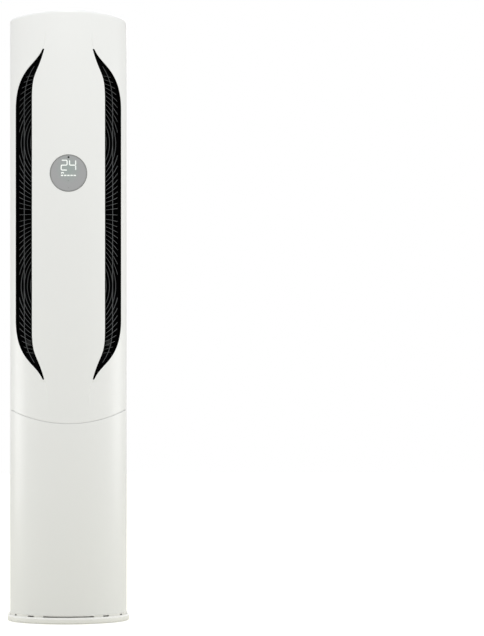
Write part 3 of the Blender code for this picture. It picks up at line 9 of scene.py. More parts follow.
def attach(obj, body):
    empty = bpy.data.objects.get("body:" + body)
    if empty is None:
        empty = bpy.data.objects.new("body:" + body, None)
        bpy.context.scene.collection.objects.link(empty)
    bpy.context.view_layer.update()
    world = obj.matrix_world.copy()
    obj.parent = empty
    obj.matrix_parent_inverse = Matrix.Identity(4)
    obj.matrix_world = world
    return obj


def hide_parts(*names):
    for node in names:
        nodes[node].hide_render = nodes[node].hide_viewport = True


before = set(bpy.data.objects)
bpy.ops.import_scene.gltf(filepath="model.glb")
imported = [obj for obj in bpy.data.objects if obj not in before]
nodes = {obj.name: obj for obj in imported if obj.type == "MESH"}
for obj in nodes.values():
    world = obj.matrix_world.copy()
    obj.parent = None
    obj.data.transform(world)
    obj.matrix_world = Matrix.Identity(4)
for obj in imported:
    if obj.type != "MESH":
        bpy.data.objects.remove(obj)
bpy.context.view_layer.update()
print("model loaded")

# Main sizes in metres, the same as the solids
tower = {
    "height": 1.840,
    "width": 0.354,
    "frontDepth": 0.150,  # widest line to the foremost line
    "rearDepth": 0.150,
    "rearCorner": 0.065,
    "crownRadius": 0.790,
    "topFillet": 0.0085,
    "topRim": 0.014,
    "topLedge": 0.020,
    "wall": 0.0025,
    "fit": 0.0003,
    "jointLine": 0.0006,
    "jointRound": 0.00022,
    "partingSetback": 0.034,
    "floorFlange": 0.0026,
    "floorFlangeInset": 0.016,
    "coverBottom": 0.027,
    "tongue": 0.002,
    "tongueReach": 0.012,
    "seamHeight": 0.6005,
    "seamRadius": 0.404,
}
halfWidth = tower["width"] / 2
frontDepth = tower["frontDepth"]
rearDepth = tower["rearDepth"]
rearCorner = tower["rearCorner"]
wall = tower["wall"]
fit = tower["fit"]
joint = tower["jointLine"] / 2
jointRound = tower["jointRound"]
fillet = tower["topFillet"]
coverBottom = tower["coverBottom"]
partingFront = -tower["partingSetback"] - joint
partingRear = -tower["partingSetback"] + joint
hands = (("left", -1), ("right", 1))


# Meshes


def quarter(steps, first=0):
    # (1 - sine, 1 - cosine) in even steps of a quarter turn
    angles = [pi / 2 * k / steps for k in range(first, steps + 1)]
    return [(1 - sin(a), 1 - cos(a)) for a in angles]


def aroundTurn(count):
    return [2 * pi * k / count for k in range(count)]


def link(name, data):
    obj = bpy.data.objects.new(name, data)
    bpy.context.scene.collection.objects.link(obj)
    return obj


def faceOut(mesh, weld=0.0):
    work = bmesh.new()
    work.from_mesh(mesh)
    if weld:
        bmesh.ops.remove_doubles(work, verts=work.verts, dist=weld)
        bmesh.ops.dissolve_degenerate(work, edges=work.edges, dist=1e-7)
    bmesh.ops.recalc_face_normals(work, faces=work.faces)
    work.to_mesh(mesh)
    work.free()


def meshObject(name, points, faces, weld=0.0):
    mesh = bpy.data.meshes.new(name)
    mesh.from_pydata([tuple(p) for p in points], [], faces)
    faceOut(mesh, weld)
    return link(name, mesh)


def sweepParts(sections, loop=False):
    # a closed shell through the sections, as points and faces
    count = len(sections[0])
    faces = []
    last = len(sections) if loop else len(sections) - 1
    for i in range(last):
        here = i * count
        there = (i + 1) % len(sections) * count
        for j in range(count):
            k = (j + 1) % count
            faces.append((here + j, here + k, there + k, there + j))
    if not loop:
        faces.append(tuple(range(count)))
        faces.append(tuple(range(last * count, (last + 1) * count)))
    return [point for section in sections for point in section], faces


def sweep(name, sections, loop=False):
    return meshObject(name, *sweepParts(sections, loop))


def gather(name, parts):
    # several closed shells as one mesh
    points = []
    faces = []
    for partPoints, partFaces in parts:
        start = len(points)
        points += list(partPoints)
        faces += [tuple(start + k for k in face) for face in partFaces]
    return meshObject(name, points, faces)


def along(axis, u, v, w):
    return {"X": (w, u, v), "Y": (u, w, v), "Z": (u, v, w)}[axis]


def prismParts(axis, outline, low, high):
    return sweepParts([[along(axis, u, v, w) for u, v in outline] for w in (low, high)])


def boxParts(low, high):
    corners = [(low[0], low[1]), (high[0], low[1]), (high[0], high[1]), (low[0], high[1])]
    return prismParts("Z", corners, low[2], high[2])


def circle(radius, segments, middle=(0.0, 0.0)):
    return [(middle[0] + radius * cos(a), middle[1] + radius * sin(a)) for a in aroundTurn(segments)]


def roundedBox(width, height, radius, steps=3, middle=(0.0, 0.0)):
    outline = []
    for corner, (sx, sy) in enumerate(((1, 1), (-1, 1), (-1, -1), (1, -1))):
        for k in range(steps + 1):
            angle = pi / 2 * (corner + k / steps)
            x = sx * (width / 2 - radius) + radius * cos(angle)
            y = sy * (height / 2 - radius) + radius * sin(angle)
            outline.append((middle[0] + x, middle[1] + y))
    return outline


def latheParts(axis, profile, segments, middle=(0.0, 0.0, 0.0)):
    # profile is closed and stays off the axis, as (radius, height)
    middle = Vector(middle)
    return sweepParts([
        [Vector(along(axis, radius * cos(a), radius * sin(a), height)) + middle for radius, height in profile]
        for a in aroundTurn(segments)
    ], loop=True)


def lathe(name, *shape):
    return meshObject(name, *latheParts(*shape))


def cornerCurve(first, here, last, steps):
    shares = [i / steps for i in range(steps + 1)]
    return [first * (1 - t) ** 2 + here * 2 * t * (1 - t) + last * t * t for t in shares]


def roundOff(profile, radius):
    # rounds each corner of a closed profile
    rounded = []
    for k in range(len(profile)):
        before, here, after = (Vector(profile[i % len(profile)]) for i in (k - 1, k, k + 1))
        a = before - here
        b = after - here
        reach = min(radius, a.length * 0.45, b.length * 0.45)
        rounded += cornerCurve(here + a.normalized() * reach, here, here + b.normalized() * reach, 3)
    return [tuple(p) for p in rounded]


def settle(obj):
    # what the modifiers make of the object becomes its mesh
    graph = bpy.context.evaluated_depsgraph_get()
    mesh = bpy.data.meshes.new_from_object(obj.evaluated_get(graph))
    old = obj.data
    obj.modifiers.clear()
    obj.data = mesh
    bpy.data.meshes.remove(old)
    return obj


def carve(target, *tools):
    # cuts objects, or shells given as points and faces, out of the target
    for tool in tools:
        if not isinstance(tool, bpy.types.Object):
            tool = meshObject("tool", *tool)
        modifier = target.modifiers.new("cut", "BOOLEAN")
        modifier.operation = "DIFFERENCE"
        modifier.solver = "EXACT"
        modifier.object = tool
        settle(target)
        bpy.data.objects.remove(tool, do_unlink=True)


def joinInto(target, *others):
    # adds the others' faces to the target's mesh
    work = bmesh.new()
    work.from_mesh(target.data)
    for other in others:
        work.from_mesh(other.data)
        bpy.data.objects.remove(other, do_unlink=True)
    work.to_mesh(target.data)
    work.free()


def soften(mesh, angle=30.0):
    mesh.shade_smooth()
    mesh.set_sharp_from_angle(angle=radians(angle))


def finish(obj, material, body, replaced=()):
    obj.data.materials.clear()
    obj.data.materials.append(material)
    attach(obj, body)
    if replaced:
        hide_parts(*replaced)


def dress(obj, material, *replaced, body="cabinet", angle=30.0):
    soften(obj.data, angle)
    finish(obj, material, body, replaced)


# Outline of the body


def frontPoint(turn, inset=0.0):
    # 0 degrees at the right-hand widest line, 90 at the foremost line
    angle = radians(turn)
    nx = cos(angle) / halfWidth
    ny = -sin(angle) / frontDepth
    size = hypot(nx, ny)
    return halfWidth * cos(angle) - nx / size * inset, -frontDepth * sin(angle) - ny / size * inset


@lru_cache(maxsize=None)
def turnAt(axis, value, inset):
    # where the inset front has this x (axis 0) or, on the right half, this y (axis 1)
    low, high = 0.0, (180.0, 90.0)[axis]
    for _ in range(34):
        middle = (low + high) / 2
        if frontPoint(middle, inset)[axis] > value:
            low = middle
        else:
            high = middle
    return (low + high) / 2


def frontTurn(x, inset=0.0):
    return turnAt(0, round(x, 8), round(inset, 8))


def sideTurn(y, inset=0.0):
    return turnAt(1, y, round(inset, 8))


def frontPlace(x, z, inset=0.0):
    # a point on the inset front and the way out of the surface there
    turn = frontTurn(x, inset)
    px, py = frontPoint(turn, inset)
    qx, qy = frontPoint(turn, inset - 1.0)
    return Vector((px, py, z)), Vector((qx - px, qy - py, 0.0))


def onFront(x, z, inset, side=1):
    place = frontPlace(x, z, inset)[0]
    place.x *= side
    return place


def rearOutline(inset):
    # from the right-hand widest line round the back to the left-hand one
    cornerSteps, backSteps, sideSteps = 22, 12, 6
    corner = halfWidth - rearCorner
    cornerY = rearDepth - rearCorner
    radius = rearCorner - inset
    points = [(halfWidth - inset, cornerY * k / sideSteps) for k in range(sideSteps)]
    for k in range(cornerSteps + 1):
        angle = pi / 2 * k / cornerSteps
        points.append((corner + radius * cos(angle), cornerY + radius * sin(angle)))
    for k in range(1, backSteps):
        points.append((corner * (1 - 2 * k / backSteps), rearDepth - inset))
    mirrored = [(-x, y) for x, y in points if y < rearDepth - inset - 1e-9]
    return points + [(-corner, rearDepth - inset)] + mirrored[::-1]


def bodyOutline(inset):
    frontSteps = 150
    turns = [180.0 * (1 - k / frontSteps) for k in range(1, frontSteps)]
    return rearOutline(inset) + [frontPoint(turn, inset) for turn in turns]


def ground(x):
    return 0.0


def crown(x):
    return tower["height"] - tower["crownRadius"] + sqrt(tower["crownRadius"] ** 2 - x * x)


def seamGap(x):
    # half the shadow line, wider where the curve meets the sides
    return joint + 0.0001 + 0.0005 * (x / halfWidth) ** 2


def seam(x):
    return tower["seamHeight"] + tower["seamRadius"] - sqrt(tower["seamRadius"] ** 2 - x * x)


def panelSeam(x):
    return seam(x) + seamGap(x)


def coverSeam(x):
    return seam(x) - seamGap(x)


# Outline of the air outlets

outlet = {
    "top": 1.723,
    "bottom": 0.732,
    "outer": 0.1586,
    "inner": 0.1093,
    "lean": 0.0372,
    "tipWidth": 0.0052,
    "innerBend": 0.1514,
    "innerTip": (0.0223, 0.0822),
    "innerStraight": 0.0875,
    "outerBend": 0.180,
    "outerTip": (0.0202, 0.0509),
    "outerStraight": 0.1227,
    "edgeRound": 0.0009,
    "curveSamples": 60,
    "bendSamples": 44,
    "tipSamples": 7,
    "middleStep": 0.030,
}
outletTop, outletBottom = outlet["top"], outlet["bottom"]
outletMiddle = (outletTop + outletBottom) / 2
outletTip = outlet["inner"] - outlet["lean"]


def outletEdge(side):
    # (x, height) points of the right-hand outlet from its top tip to its bottom tip
    edge = outlet[side]
    tip = outletTip + (outlet["tipWidth"] if side == "outer" else 0.0)
    bend = outlet[side + "Bend"]
    out, drop = outlet[side + "Tip"]
    control = [(tip, 0.0), (tip + out, drop), (edge, bend - outlet[side + "Straight"]), (edge, bend)]
    end = []
    for k in range(outlet["curveSamples"] + 1):
        t = k / outlet["curveSamples"]
        weights = ((1 - t) ** 3, 3 * (1 - t) ** 2 * t, 3 * (1 - t) * t * t, t**3)
        end.append(tuple(sum(w * p[axis] for w, p in zip(weights, control)) for axis in (0, 1)))
    return [(x, outletTop - d) for x, d in end] + [(x, outletBottom + d) for x, d in reversed(end)]


innerEdge = outletEdge("inner")
outerEdge = outletEdge("outer")


def crossing(points, z):
    if z >= points[0][1]:
        return points[0][0]
    for (x0, z0), (x1, z1) in zip(points, points[1:]):
        if z0 >= z >= z1 and z0 > z1:
            return x0 + (x1 - x0) * (z0 - z) / (z0 - z1)
    return points[-1][0]


def outletSpan(z):
    return crossing(innerEdge, z), crossing(outerEdge, z)


def outletLoop():
    # down the inner edge and up the outer edge, with round tips; both edges share their heights
    tipRound = outlet["tipWidth"] / 2
    drops = [tipRound * c for _, c in quarter(outlet["tipSamples"])[:-1]]
    reach = outlet["outerBend"] - tipRound
    samples = outlet["bendSamples"]
    drops += [tipRound + reach * (k / samples) ** 1.25 for k in range(samples + 1)]
    heights = [outletTop - drop for drop in drops]
    middle = [outletMiddle + 10 * outlet["middleStep"] * (1 - k / 10) for k in range(21)]
    low = [outletBottom + drop for drop in reversed(drops)]
    heights += [z for z in middle if low[0] < z < heights[-1]] + low
    left = []
    right = []
    for z in heights:
        a, b = outletSpan(z)
        depth = min(outletTop - z, z - outletBottom)
        if depth < tipRound:
            share = sqrt(max(0.0, 1 - (1 - depth / tipRound) ** 2))
            a, b = (a + b) / 2 - (b - a) / 2 * share, (a + b) / 2 + (b - a) / 2 * share
        left.append((a, z))
        right.append((b, z))
    return left + right[1:-1][::-1]


def grown(loop, amount):
    # a falling-then-rising loop, moved outwards; amount may be a function of the point
    moved = []
    for k, (x, z) in enumerate(loop):
        run = (Vector(loop[(k + 1) % len(loop)]) - Vector(loop[k - 1])).normalized()
        size = amount(x) if callable(amount) else amount
        moved.append((x + run.y * size, z - run.x * size))
    return moved


opening = outletLoop()
openingRows = len(opening) // 2 + 1


# Front panel

panelShape = {
    "middleColumns": 46,
    "sideColumns": 40,
    "endRows": 26,
    "crowding": 1.6,
    "sideLength": 0.11,
    "weld": 2e-6,
    "grooveDepth": 0.0021,
    "grooveWidth": 0.0012,
    "stepDepth": 0.0021,
    "stepWidth": 0.0013,
    "stepReach": 0.012,
    "creaseTop": {"length": 0.100, "reach": 0.044, "lean": 0.0058, "power": 1.7},
    "creaseBottom": {"length": 0.110, "reach": 0.066, "lean": 0.0118, "power": 3.0, "groove": 0.030},
}
smooth = (None, 0.0, 0.0)


def creasePlace(share, top):
    # the crease runs on from an outlet's tip and fades: its x, groove and step
    shape = panelShape["creaseTop" if top else "creaseBottom"]
    rise = share * shape["length"]
    t = min(1.0, rise / shape["reach"])
    fade = max(0.0, 1 - t) ** 0.6
    x = outletTip + outlet["tipWidth"] / 2 - shape["lean"] * (1 - (1 - t) ** shape["power"])
    if top:
        return x, fade, 0.0
    return x, max(0.0, 1 - rise / shape["groove"]) ** 0.4, fade


def panelRows():
    # one closed run of (inset, height, pair, crease): seam edge, outer skin, top rim, inner skin
    def level(target, rise, start=0.0, share=1.0):
        return lambda x: start + (target(x) + rise - start) * share

    def skin(inset, loop, lowRise, highRise):
        count = panelShape["endRows"]
        grow = loop[0][1] - outletTop
        run = []
        for share in [1 - k / count for k in range(count)]:
            height = level(panelSeam, lowRise, outletBottom - grow, share)
            run.append((inset, height, None, creasePlace(share, False)))
        for k in reversed(range(openingRows)):
            run.append((inset, level(ground, loop[k][1]), (loop[k], loop[-k]), smooth))
        for share in [k / count for k in range(1, count + 1)]:
            height = level(crown, highRise, outletTop + grow, share)
            run.append((inset, height, None, creasePlace(share, True)))
        return run

    rim, ledge = tower["topRim"], tower["topLedge"]
    plain = [(wall - jointRound, level(panelSeam, 0.0))]
    plain += [(jointRound * s, level(panelSeam, jointRound * c)) for s, c in quarter(3)[:-1]]
    top = [(fillet * c, -fillet * s) for s, c in quarter(8, 1)]
    top += [
        (rim - jointRound, 0.0), (rim - jointRound * 0.3, -jointRound * 0.3), (rim, -jointRound), (rim, -wall),
        (ledge, -wall), (ledge, -2 * wall), (fillet, -2 * wall),
    ]
    rows = [(inset, height, None, smooth) for inset, height in plain]
    rows += skin(0.0, grown(opening, outlet["edgeRound"]), jointRound, -fillet)
    rows += [(inset, level(crown, rise), None, smooth) for inset, rise in top]
    return rows + skin(wall, opening, jointRound, -fillet - wall)[::-1]


def panelRow(inset, height, pair, crease):
    # points of one row on the right half: middle to outlet, and outlet to side edge
    creaseX, groove, step = crease
    if pair:
        near, far = pair
    else:
        x = creaseX or creasePlace(1.0, True)[0]
        near = far = (x, height(x))
    shape = panelShape
    runs = []
    spans = (
        (90.0, frontTurn(near[0], inset), shape["middleColumns"], near, True),
        (frontTurn(far[0], inset), sideTurn(partingFront, inset), shape["sideColumns"], far, False),
    )
    for first, last, count, edge, toEdge in spans:
        run = []
        for j in range(count + 1):
            t = j / count
            share = 1 - (1 - t) ** shape["crowding"] if toEdge else t ** shape["crowding"]
            turn = first + (last - first) * share
            x, y = frontPoint(turn, inset)
            drop = 0.0
            if (groove or step) and inset == 0.0:
                gap = abs(x - edge[0])
                drop = shape["grooveDepth"] * groove * exp(-((gap / shape["grooveWidth"]) ** 2))
                if not toEdge:
                    foot = 1 - exp(-((gap / shape["stepWidth"]) ** 2))
                    drop += shape["stepDepth"] * step * foot * exp(-gap / shape["stepReach"])
            if not toEdge and inset < wall / 2:
                # the parting edge is slightly rounded
                away = (1 - share) * shape["sideLength"]
                if away < jointRound:
                    drop = max(drop, jointRound - sqrt(jointRound**2 - (jointRound - away) ** 2))
            if drop:
                if share == 1.0 and not toEdge:
                    turn = sideTurn(partingFront, inset + drop)
                x, y = frontPoint(turn, inset + drop)
            closeness = share if toEdge else 1 - share
            run.append((x, y, height(x) + (edge[1] - height(edge[0])) * closeness**2))
        runs.append(run)
    return runs


def halfShell(name, rows):
    # builds the right half from rows, then mirrors it
    points = []
    faces = []

    def stitch(a, b):
        start, n = len(points), len(a)
        points.extend(a + b)
        faces.extend((start + j, start + j + 1, start + n + j + 1, start + n + j) for j in range(n - 1))

    placed = [panelRow(*row) for row in rows]
    for here, after in zip(placed, placed[1:] + placed[:1]):
        stitch(here[0], after[0])
        stitch(here[1], after[1])
    # wall of the outlet
    size = outlet["edgeRound"]
    rings = [(grown(opening, size * s), size * c) for s, c in quarter(4)] + [(opening, wall)]
    rings = [[onFront(x, z, inset) for x, z in loop] for loop, inset in rings]
    for a, b in zip(rings, rings[1:]):
        stitch(a + a[:1], b + b[:1])
    faces.append(tuple(range(len(points), len(points) + len(placed))))
    points.extend(run[1][-1] for run in placed)
    total = len(points)
    points += [(-x, y, z) for x, y, z in points]
    faces += [tuple(total + k for k in reversed(face)) for face in faces]
    return meshObject(name, points, faces, panelShape["weld"])


def frontStrip(depth, profile, steps=120):
    # a closed profile of (inset, rise, level), carried round the front from side to side
    sections = []
    for k in range(steps + 1):
        section = []
        for inset, rise, level in profile:
            first = sideTurn(depth, inset)
            x, y = frontPoint(first + (180.0 - 2 * first) * (1 - k / steps), inset)
            section.append((x, y, level(x) + rise))
        sections.append(section)
    return sweepParts(sections)


display = {
    "height": 1.350,
    "diameter": 0.1115,
    "bezelWall": 0.0022,
    "bezelSetback": 0.0009,
    "innerSoft": 0.0003,
    "outerSoft": 0.0004,
    "lensThickness": 0.0022,
    "lensSetback": 0.00012,
    "lensEdge": 0.00035,
    "lensSoft": 0.0002,
    "lensRings": (0.93, 0.8, 0.65, 0.5, 0.35, 0.2, 0.08),
    "cupDepth": 0.020,
    "cableBore": 0.004,
    "receiverRise": 0.0475,
    "receiverRadius": 0.0028,
}
print("outlines ready")


# Node trees


def add(tree, kind, inputs=(), **settings):
    # one node, each input given a value or a link
    node = tree.nodes.new(kind)
    for name, value in settings.items():
        setattr(node, name, value)
    for key, value in dict(inputs).items():
        if isinstance(value, bpy.types.NodeSocket):
            tree.links.new(value, node.inputs[key])
        else:
            node.inputs[key].default_value = value
    return node


def newTree(name, family, inputs, outputs):
    tree = bpy.data.node_groups.new(name, family + "NodeTree")
    for label, kind, *value in inputs:
        socket = tree.interface.new_socket(label, in_out="INPUT", socket_type="NodeSocket" + kind)
        if value:
            socket.default_value = value[0]
    for label, kind in outputs:
        tree.interface.new_socket(label, in_out="OUTPUT", socket_type="NodeSocket" + kind)
    return tree, tree.nodes.new("NodeGroupInput").outputs


def mathNode(tree, operation, a, b):
    return add(tree, "ShaderNodeMath", {0: a, 1: b}, operation=operation).outputs[0]


def swing(tree, value, size):
    # a value about one half becomes a drift about zero
    return mathNode(tree, "MULTIPLY", mathNode(tree, "SUBTRACT", value, 0.5), size)


def objectPlace(tree):
    return add(tree, "ShaderNodeTexCoord").outputs["Object"]


surfaceOutputs = (("Shade", "Float"), ("Roughness", "Float"), ("Height", "Float"))


def makeMoulded():
    # soft colour drift, roughness drift and orange-peel height of a moulded surface
    tree, start = newTree("mouldedSurface", "Shader", (
        ("Drift Scale", "Float", 3.0), ("Drift", "Float", 0.03), ("Peel Scale", "Float", 900.0),
        ("Roughness", "Float", 0.4), ("Rough Drift", "Float", 0.06),
    ), surfaceOutputs)
    place = objectPlace(tree)

    def noise(detail, scale):
        return add(tree, "ShaderNodeTexNoise", {"Detail": detail, "Vector": place, "Scale": scale}).outputs["Fac"]

    drift = noise(3.0, start["Drift Scale"])
    rough = noise(5.0, mathNode(tree, "MULTIPLY", start["Drift Scale"], 7.0))
    add(tree, "NodeGroupOutput", {
        "Shade": mathNode(tree, "ADD", swing(tree, drift, start["Drift"]), 1.0),
        "Roughness": mathNode(tree, "ADD", swing(tree, rough, start["Rough Drift"]), start["Roughness"]),
        "Height": noise(2.0, start["Peel Scale"]),
    })
    return tree


def makeDrawn():
    # drift that can be drawn out along one direction, for rolled, drawn and machined metal
    tree, start = newTree("drawnSurface", "Shader", (
        ("Stretch", "Vector", (1.0, 1.0, 1.0)), ("Scale", "Float", 200.0), ("Drift", "Float", 0.1),
        ("Roughness", "Float", 0.3), ("Rough Drift", "Float", 0.15), ("Flakes", "Float", 0.0),
    ), surfaceOutputs)
    place = objectPlace(tree)
    stretched = add(tree, "ShaderNodeMapping", {"Vector": place, "Scale": start["Stretch"]}).outputs["Vector"]
    lines = add(tree, "ShaderNodeTexNoise", {"Detail": 4.0, "Vector": stretched, "Scale": start["Scale"]})
    flakes = add(tree, "ShaderNodeTexVoronoi", {"Scale": 140.0, "Vector": place}).outputs["Color"]
    flake = add(tree, "ShaderNodeSeparateColor", {"Color": flakes}).outputs[0]
    lines = lines.outputs["Fac"]
    drift = mathNode(tree, "SUBTRACT", lines, 0.5)
    patch = swing(tree, flake, start["Flakes"])

    def spread(size, level):
        return mathNode(tree, "ADD", mathNode(tree, "ADD", mathNode(tree, "MULTIPLY", drift, size), patch), level)

    add(tree, "NodeGroupOutput", {
        "Shade": spread(start["Drift"], 1.0),
        "Roughness": spread(start["Rough Drift"], start["Roughness"]),
        "Height": lines,
    })
    return tree


moulded = makeMoulded()
drawn = makeDrawn()


# Materials


def linear(channel):
    return channel / 12.92 if channel <= 0.04045 else ((channel + 0.055) / 1.055) ** 2.4


def colourOf(code):
    return (*[linear(int(code[k : k + 2], 16) / 255) for k in (0, 2, 4)], 1.0)


def newMaterial(name, inputs=()):
    material = bpy.data.materials.new(name)
    material.use_nodes = True
    tree = material.node_tree
    shader = tree.nodes["Principled BSDF"]
    for label, value in dict(inputs).items():
        shader.inputs[label].default_value = value
    return material, tree, shader


def surfaced(name, source, values, colour, depth=0.0, **inputs):
    # colour is a code, or a function that makes nodes and gives a colour and perhaps a height
    labels = {"specular": "Specular IOR Level", "metallic": "Metallic", "emission": "Emission Strength"}
    material, tree, shader = newMaterial(name, {labels[key]: value for key, value in inputs.items()})
    surface = add(tree, "ShaderNodeGroup", values, node_tree=source).outputs
    height = surface["Height"]
    if callable(colour):
        base, height = colour(tree, height)
    else:
        base = colourOf(colour)[:3]
    shade = add(tree, "ShaderNodeVectorMath", {0: base, "Scale": surface["Shade"]}, operation="SCALE").outputs[0]
    wires = {"Base Color": shade, "Roughness": surface["Roughness"]}
    if "emission" in inputs:
        wires["Emission Color"] = shade
    if depth:
        normal = add(tree, "ShaderNodeBump", {"Distance": depth, "Strength": 1.0, "Height": height})
        wires["Normal"] = normal.outputs["Normal"]
    for label, socket in wires.items():
        tree.links.new(socket, shader.inputs[label])
    return material


def plastic(name, colour, roughness, drift=0.03, driftScale=3.0, peel=900.0, depth=0.00001, rough=0.08, **inputs):
    values = {
        "Drift Scale": driftScale, "Drift": drift, "Peel Scale": peel, "Roughness": roughness, "Rough Drift": rough,
    }
    return surfaced(name, moulded, values, colour, depth, **inputs)


def metal(name, colour, roughness, stretch=(1.0, 1.0, 1.0), scale=200.0, drift=0.15, flakes=0.0, metallic=1.0):
    values = {"Stretch": stretch, "Scale": scale, "Drift": drift, "Roughness": roughness, "Flakes": flakes}
    return surfaced(name, drawn, values, colour, 0.00001, metallic=metallic)


def discColourWithPaintedGlow(tree, height):
    # grey, with a painted green glow round the lit marks, standing in for the light they spill onto the disc
    place = add(tree, "ShaderNodeMapping", {
        "Location": (0.0, -0.149, 1.362), "Scale": (0.040, 0.200, 0.046), "Vector": objectPlace(tree),
    }, vector_type="TEXTURE").outputs["Vector"]
    glow = add(tree, "ShaderNodeTexGradient", {"Vector": place}, gradient_type="SPHERICAL").outputs["Fac"]
    mix = add(tree, "ShaderNodeMix", {
        "A": colourOf("A2A3A6"), "B": colourOf("9CA6A5"), "Factor": mathNode(tree, "MULTIPLY", glow, 1.3),
    }, data_type="RGBA")
    return mix.outputs["Result"], height


def boardColour(tree, height):
    # green solder mask with lighter copper runs under it
    turned = add(tree, "ShaderNodeMapping", {"Rotation": (radians(90.0), 0.0, 0.0), "Vector": objectPlace(tree)})
    runs = add(tree, "ShaderNodeTexBrick", {
        "Scale": 90.0, "Mortar Size": 0.03, "Color1": colourOf("1F5A36"), "Color2": colourOf("215F3A"),
        "Mortar": colourOf("3B7A4C"), "Vector": turned.outputs["Vector"],
    })
    return runs.outputs["Color"], runs.outputs["Fac"]


whiteMoulding = plastic("whiteMoulding", "ECEDEE", 0.34, 0.012, 2.5, 700.0)
ivoryMoulding = plastic("ivoryMoulding", "EBEBE8", 0.46, 0.03, 3.0, 1200.0, 0.00002)
blackMoulding = plastic("blackMoulding", "050506", 0.55, 0.25, 9.0, 1500.0, 0.00002, specular=0.01)
# the black ribs are coloured mid grey: painted sheen, standing in for the highlights along their edges
ribGreyPaintedSheen = plastic("ribGreyPaintedSheen", "4C4F51", 0.40, 0.20, 12.0, 1500.0, 0.00002)
bezelGrey = plastic("bezelGrey", "979998", 0.35, 0.04)
touchGrey = plastic("touchGrey", "949695", 0.24, 0.02)
foamWhite = plastic("foamWhite", "E4E5E2", 0.82, 0.05, 30.0, 1800.0, 0.00025)
fanGrey = plastic("fanGrey", "55585B", 0.48, 0.08, 8.0, 1300.0, 0.00002)
netGrey = plastic("netGrey", "9FA3A5", 0.55, 0.10, 40.0, 2500.0)
smokedLens = plastic("smokedLens", "2A2C2E", 0.12, 0.05)
blackRubber = plastic("blackRubber", "1B1B1C", 0.85, 0.20, 20.0, 2500.0, 0.00006, specular=0.3)
discGrey = plastic("discGrey", discColourWithPaintedGlow, 0.2, 0.02, 30.0, 400.0, 0.0, 0.06)
litWhite = plastic("litWhite", "F1F6F4", 0.3, 0.05, 60.0, 400.0, 0.0, 0.06, emission=0.15)
boardGreen = plastic("boardGreen", boardColour, 0.42, 0.10, 40.0, 900.0, 0.00003, 0.06)
zincSheet = metal("zincSheet", "B4B7B8", 0.36, flakes=0.10, drift=0.06, metallic=0.9)
# near-black sheet for the motor bulkhead and vane motors: painted shade, standing in for the dark inside behind the
# outlets
darkSheetPaintedShade = metal("darkSheetPaintedShade", "101112", 0.62, flakes=0.05, drift=0.10, metallic=0.0)
finAluminium = metal("finAluminium", "C4C8CB", 0.40, (1.0, 1.0, 30.0), 60.0, 0.12, metallic=0.95)
copperTube = metal("copperTube", "B4693F", 0.30, scale=120.0, drift=0.35)
brassHex = metal("brassHex", "C8A456", 0.28, (1.0, 1.0, 12.0), 300.0)
turnedSteel = metal("turnedSteel", "A8ABAD", 0.26, (1.0, 14.0, 1.0), 400.0)
screwSteel = metal("screwSteel", "9FA3A6", 0.30, scale=700.0, drift=0.2)
print("materials ready")


# Camera, floor and lights

stage = {
    "lens": 179.62,
    "viewer": (0.0, -9.65, 0.9168),
    "viewTurn": -3.13,
    "floor": ((-9, -11, 0), (9, -11, 0), (9, 9, 0), (-9, 9, 0)),
    "floorColour": "D2D1C1",
    "floorGlow": 0.70,
    "floorMirrored": 0.20,  # the floor is weaker in the casing's sides than in the picture
    "skyGlow": 0.71,
    "lamps": (  # name, place, aim, size, power
        ("topLamp", (0.0, -3.0, 4.2), (0.0, 0.0, 1.3), 1.6, 67.0),
        ("leftLamp", (-2.9, 0.7, 0.5), (0.0, 0.0, 0.6), 1.8, 19.8),
        ("rightLamp", (2.9, 0.5, 0.9), (0.0, 0.0, 0.9), 1.8, 17.8),
        ("backLamp", (0.4, 3.4, 2.8), (0.0, 0.0, 1.0), 2.0, 40.0),
    ),
}


def strongest(tree, first, *others):
    for other in others:
        first = mathNode(tree, "MAXIMUM", first, other)
    return first


def setStage():
    scene = bpy.context.scene
    scene.view_settings.view_transform = "Standard"
    camera = bpy.data.cameras.new("camera")
    camera.lens = stage["lens"]
    camera.sensor_width = 36.0
    camera.clip_end = 60.0
    viewer = link("camera", camera)
    viewer.location = stage["viewer"]
    viewer.rotation_euler = (radians(90.0), 0.0, radians(stage["viewTurn"]))
    scene.camera = viewer

    colour = colourOf(stage["floorColour"])
    material, tree, shader = newMaterial("paleFloor", {"Base Color": colour, "Roughness": 0.85})
    rays = add(tree, "ShaderNodeLightPath").outputs
    mirrored = mathNode(tree, "MULTIPLY", rays["Is Glossy Ray"], stage["floorMirrored"])
    seen = strongest(tree, rays["Is Camera Ray"], rays["Is Transmission Ray"], mirrored)
    strength = mathNode(tree, "MULTIPLY", seen, stage["floorGlow"])
    lift = add(tree, "ShaderNodeEmission", {"Color": (1.0, 1.0, 1.0, 1.0), "Strength": strength})
    total = add(tree, "ShaderNodeAddShader", {0: shader.outputs[0], 1: lift.outputs[0]})
    tree.links.new(total.outputs[0], tree.nodes["Material Output"].inputs["Surface"])
    mesh = bpy.data.meshes.new("floor")
    mesh.from_pydata(stage["floor"], [], [(0, 1, 2, 3)])
    mesh.materials.append(material)
    link("floor", mesh)

    world = bpy.data.worlds.new("studio")
    scene.world = world
    world.use_nodes = True
    tree = world.node_tree
    rays = add(tree, "ShaderNodeLightPath").outputs
    seen = (rays[f"Is {kind} Ray"] for kind in ("Camera", "Glossy", "Transmission"))
    glow = strongest(tree, *seen, stage["skyGlow"])
    background = tree.nodes["Background"]
    background.inputs["Color"].default_value = (1.0, 1.0, 1.0, 1.0)
    tree.links.new(glow, background.inputs["Strength"])

    for name, place, aim, size, power in stage["lamps"]:
        lamp = bpy.data.lights.new(name, "AREA")
        lamp.shape = "DISK"
        lamp.size = size
        lamp.energy = power
        obj = link(name, lamp)
        obj.location = place
        obj.rotation_euler = (Vector(aim) - Vector(place)).to_track_quat("-Z", "Y").to_euler()


setStage()
print("camera, floor and lights ready")


# Front mouldings


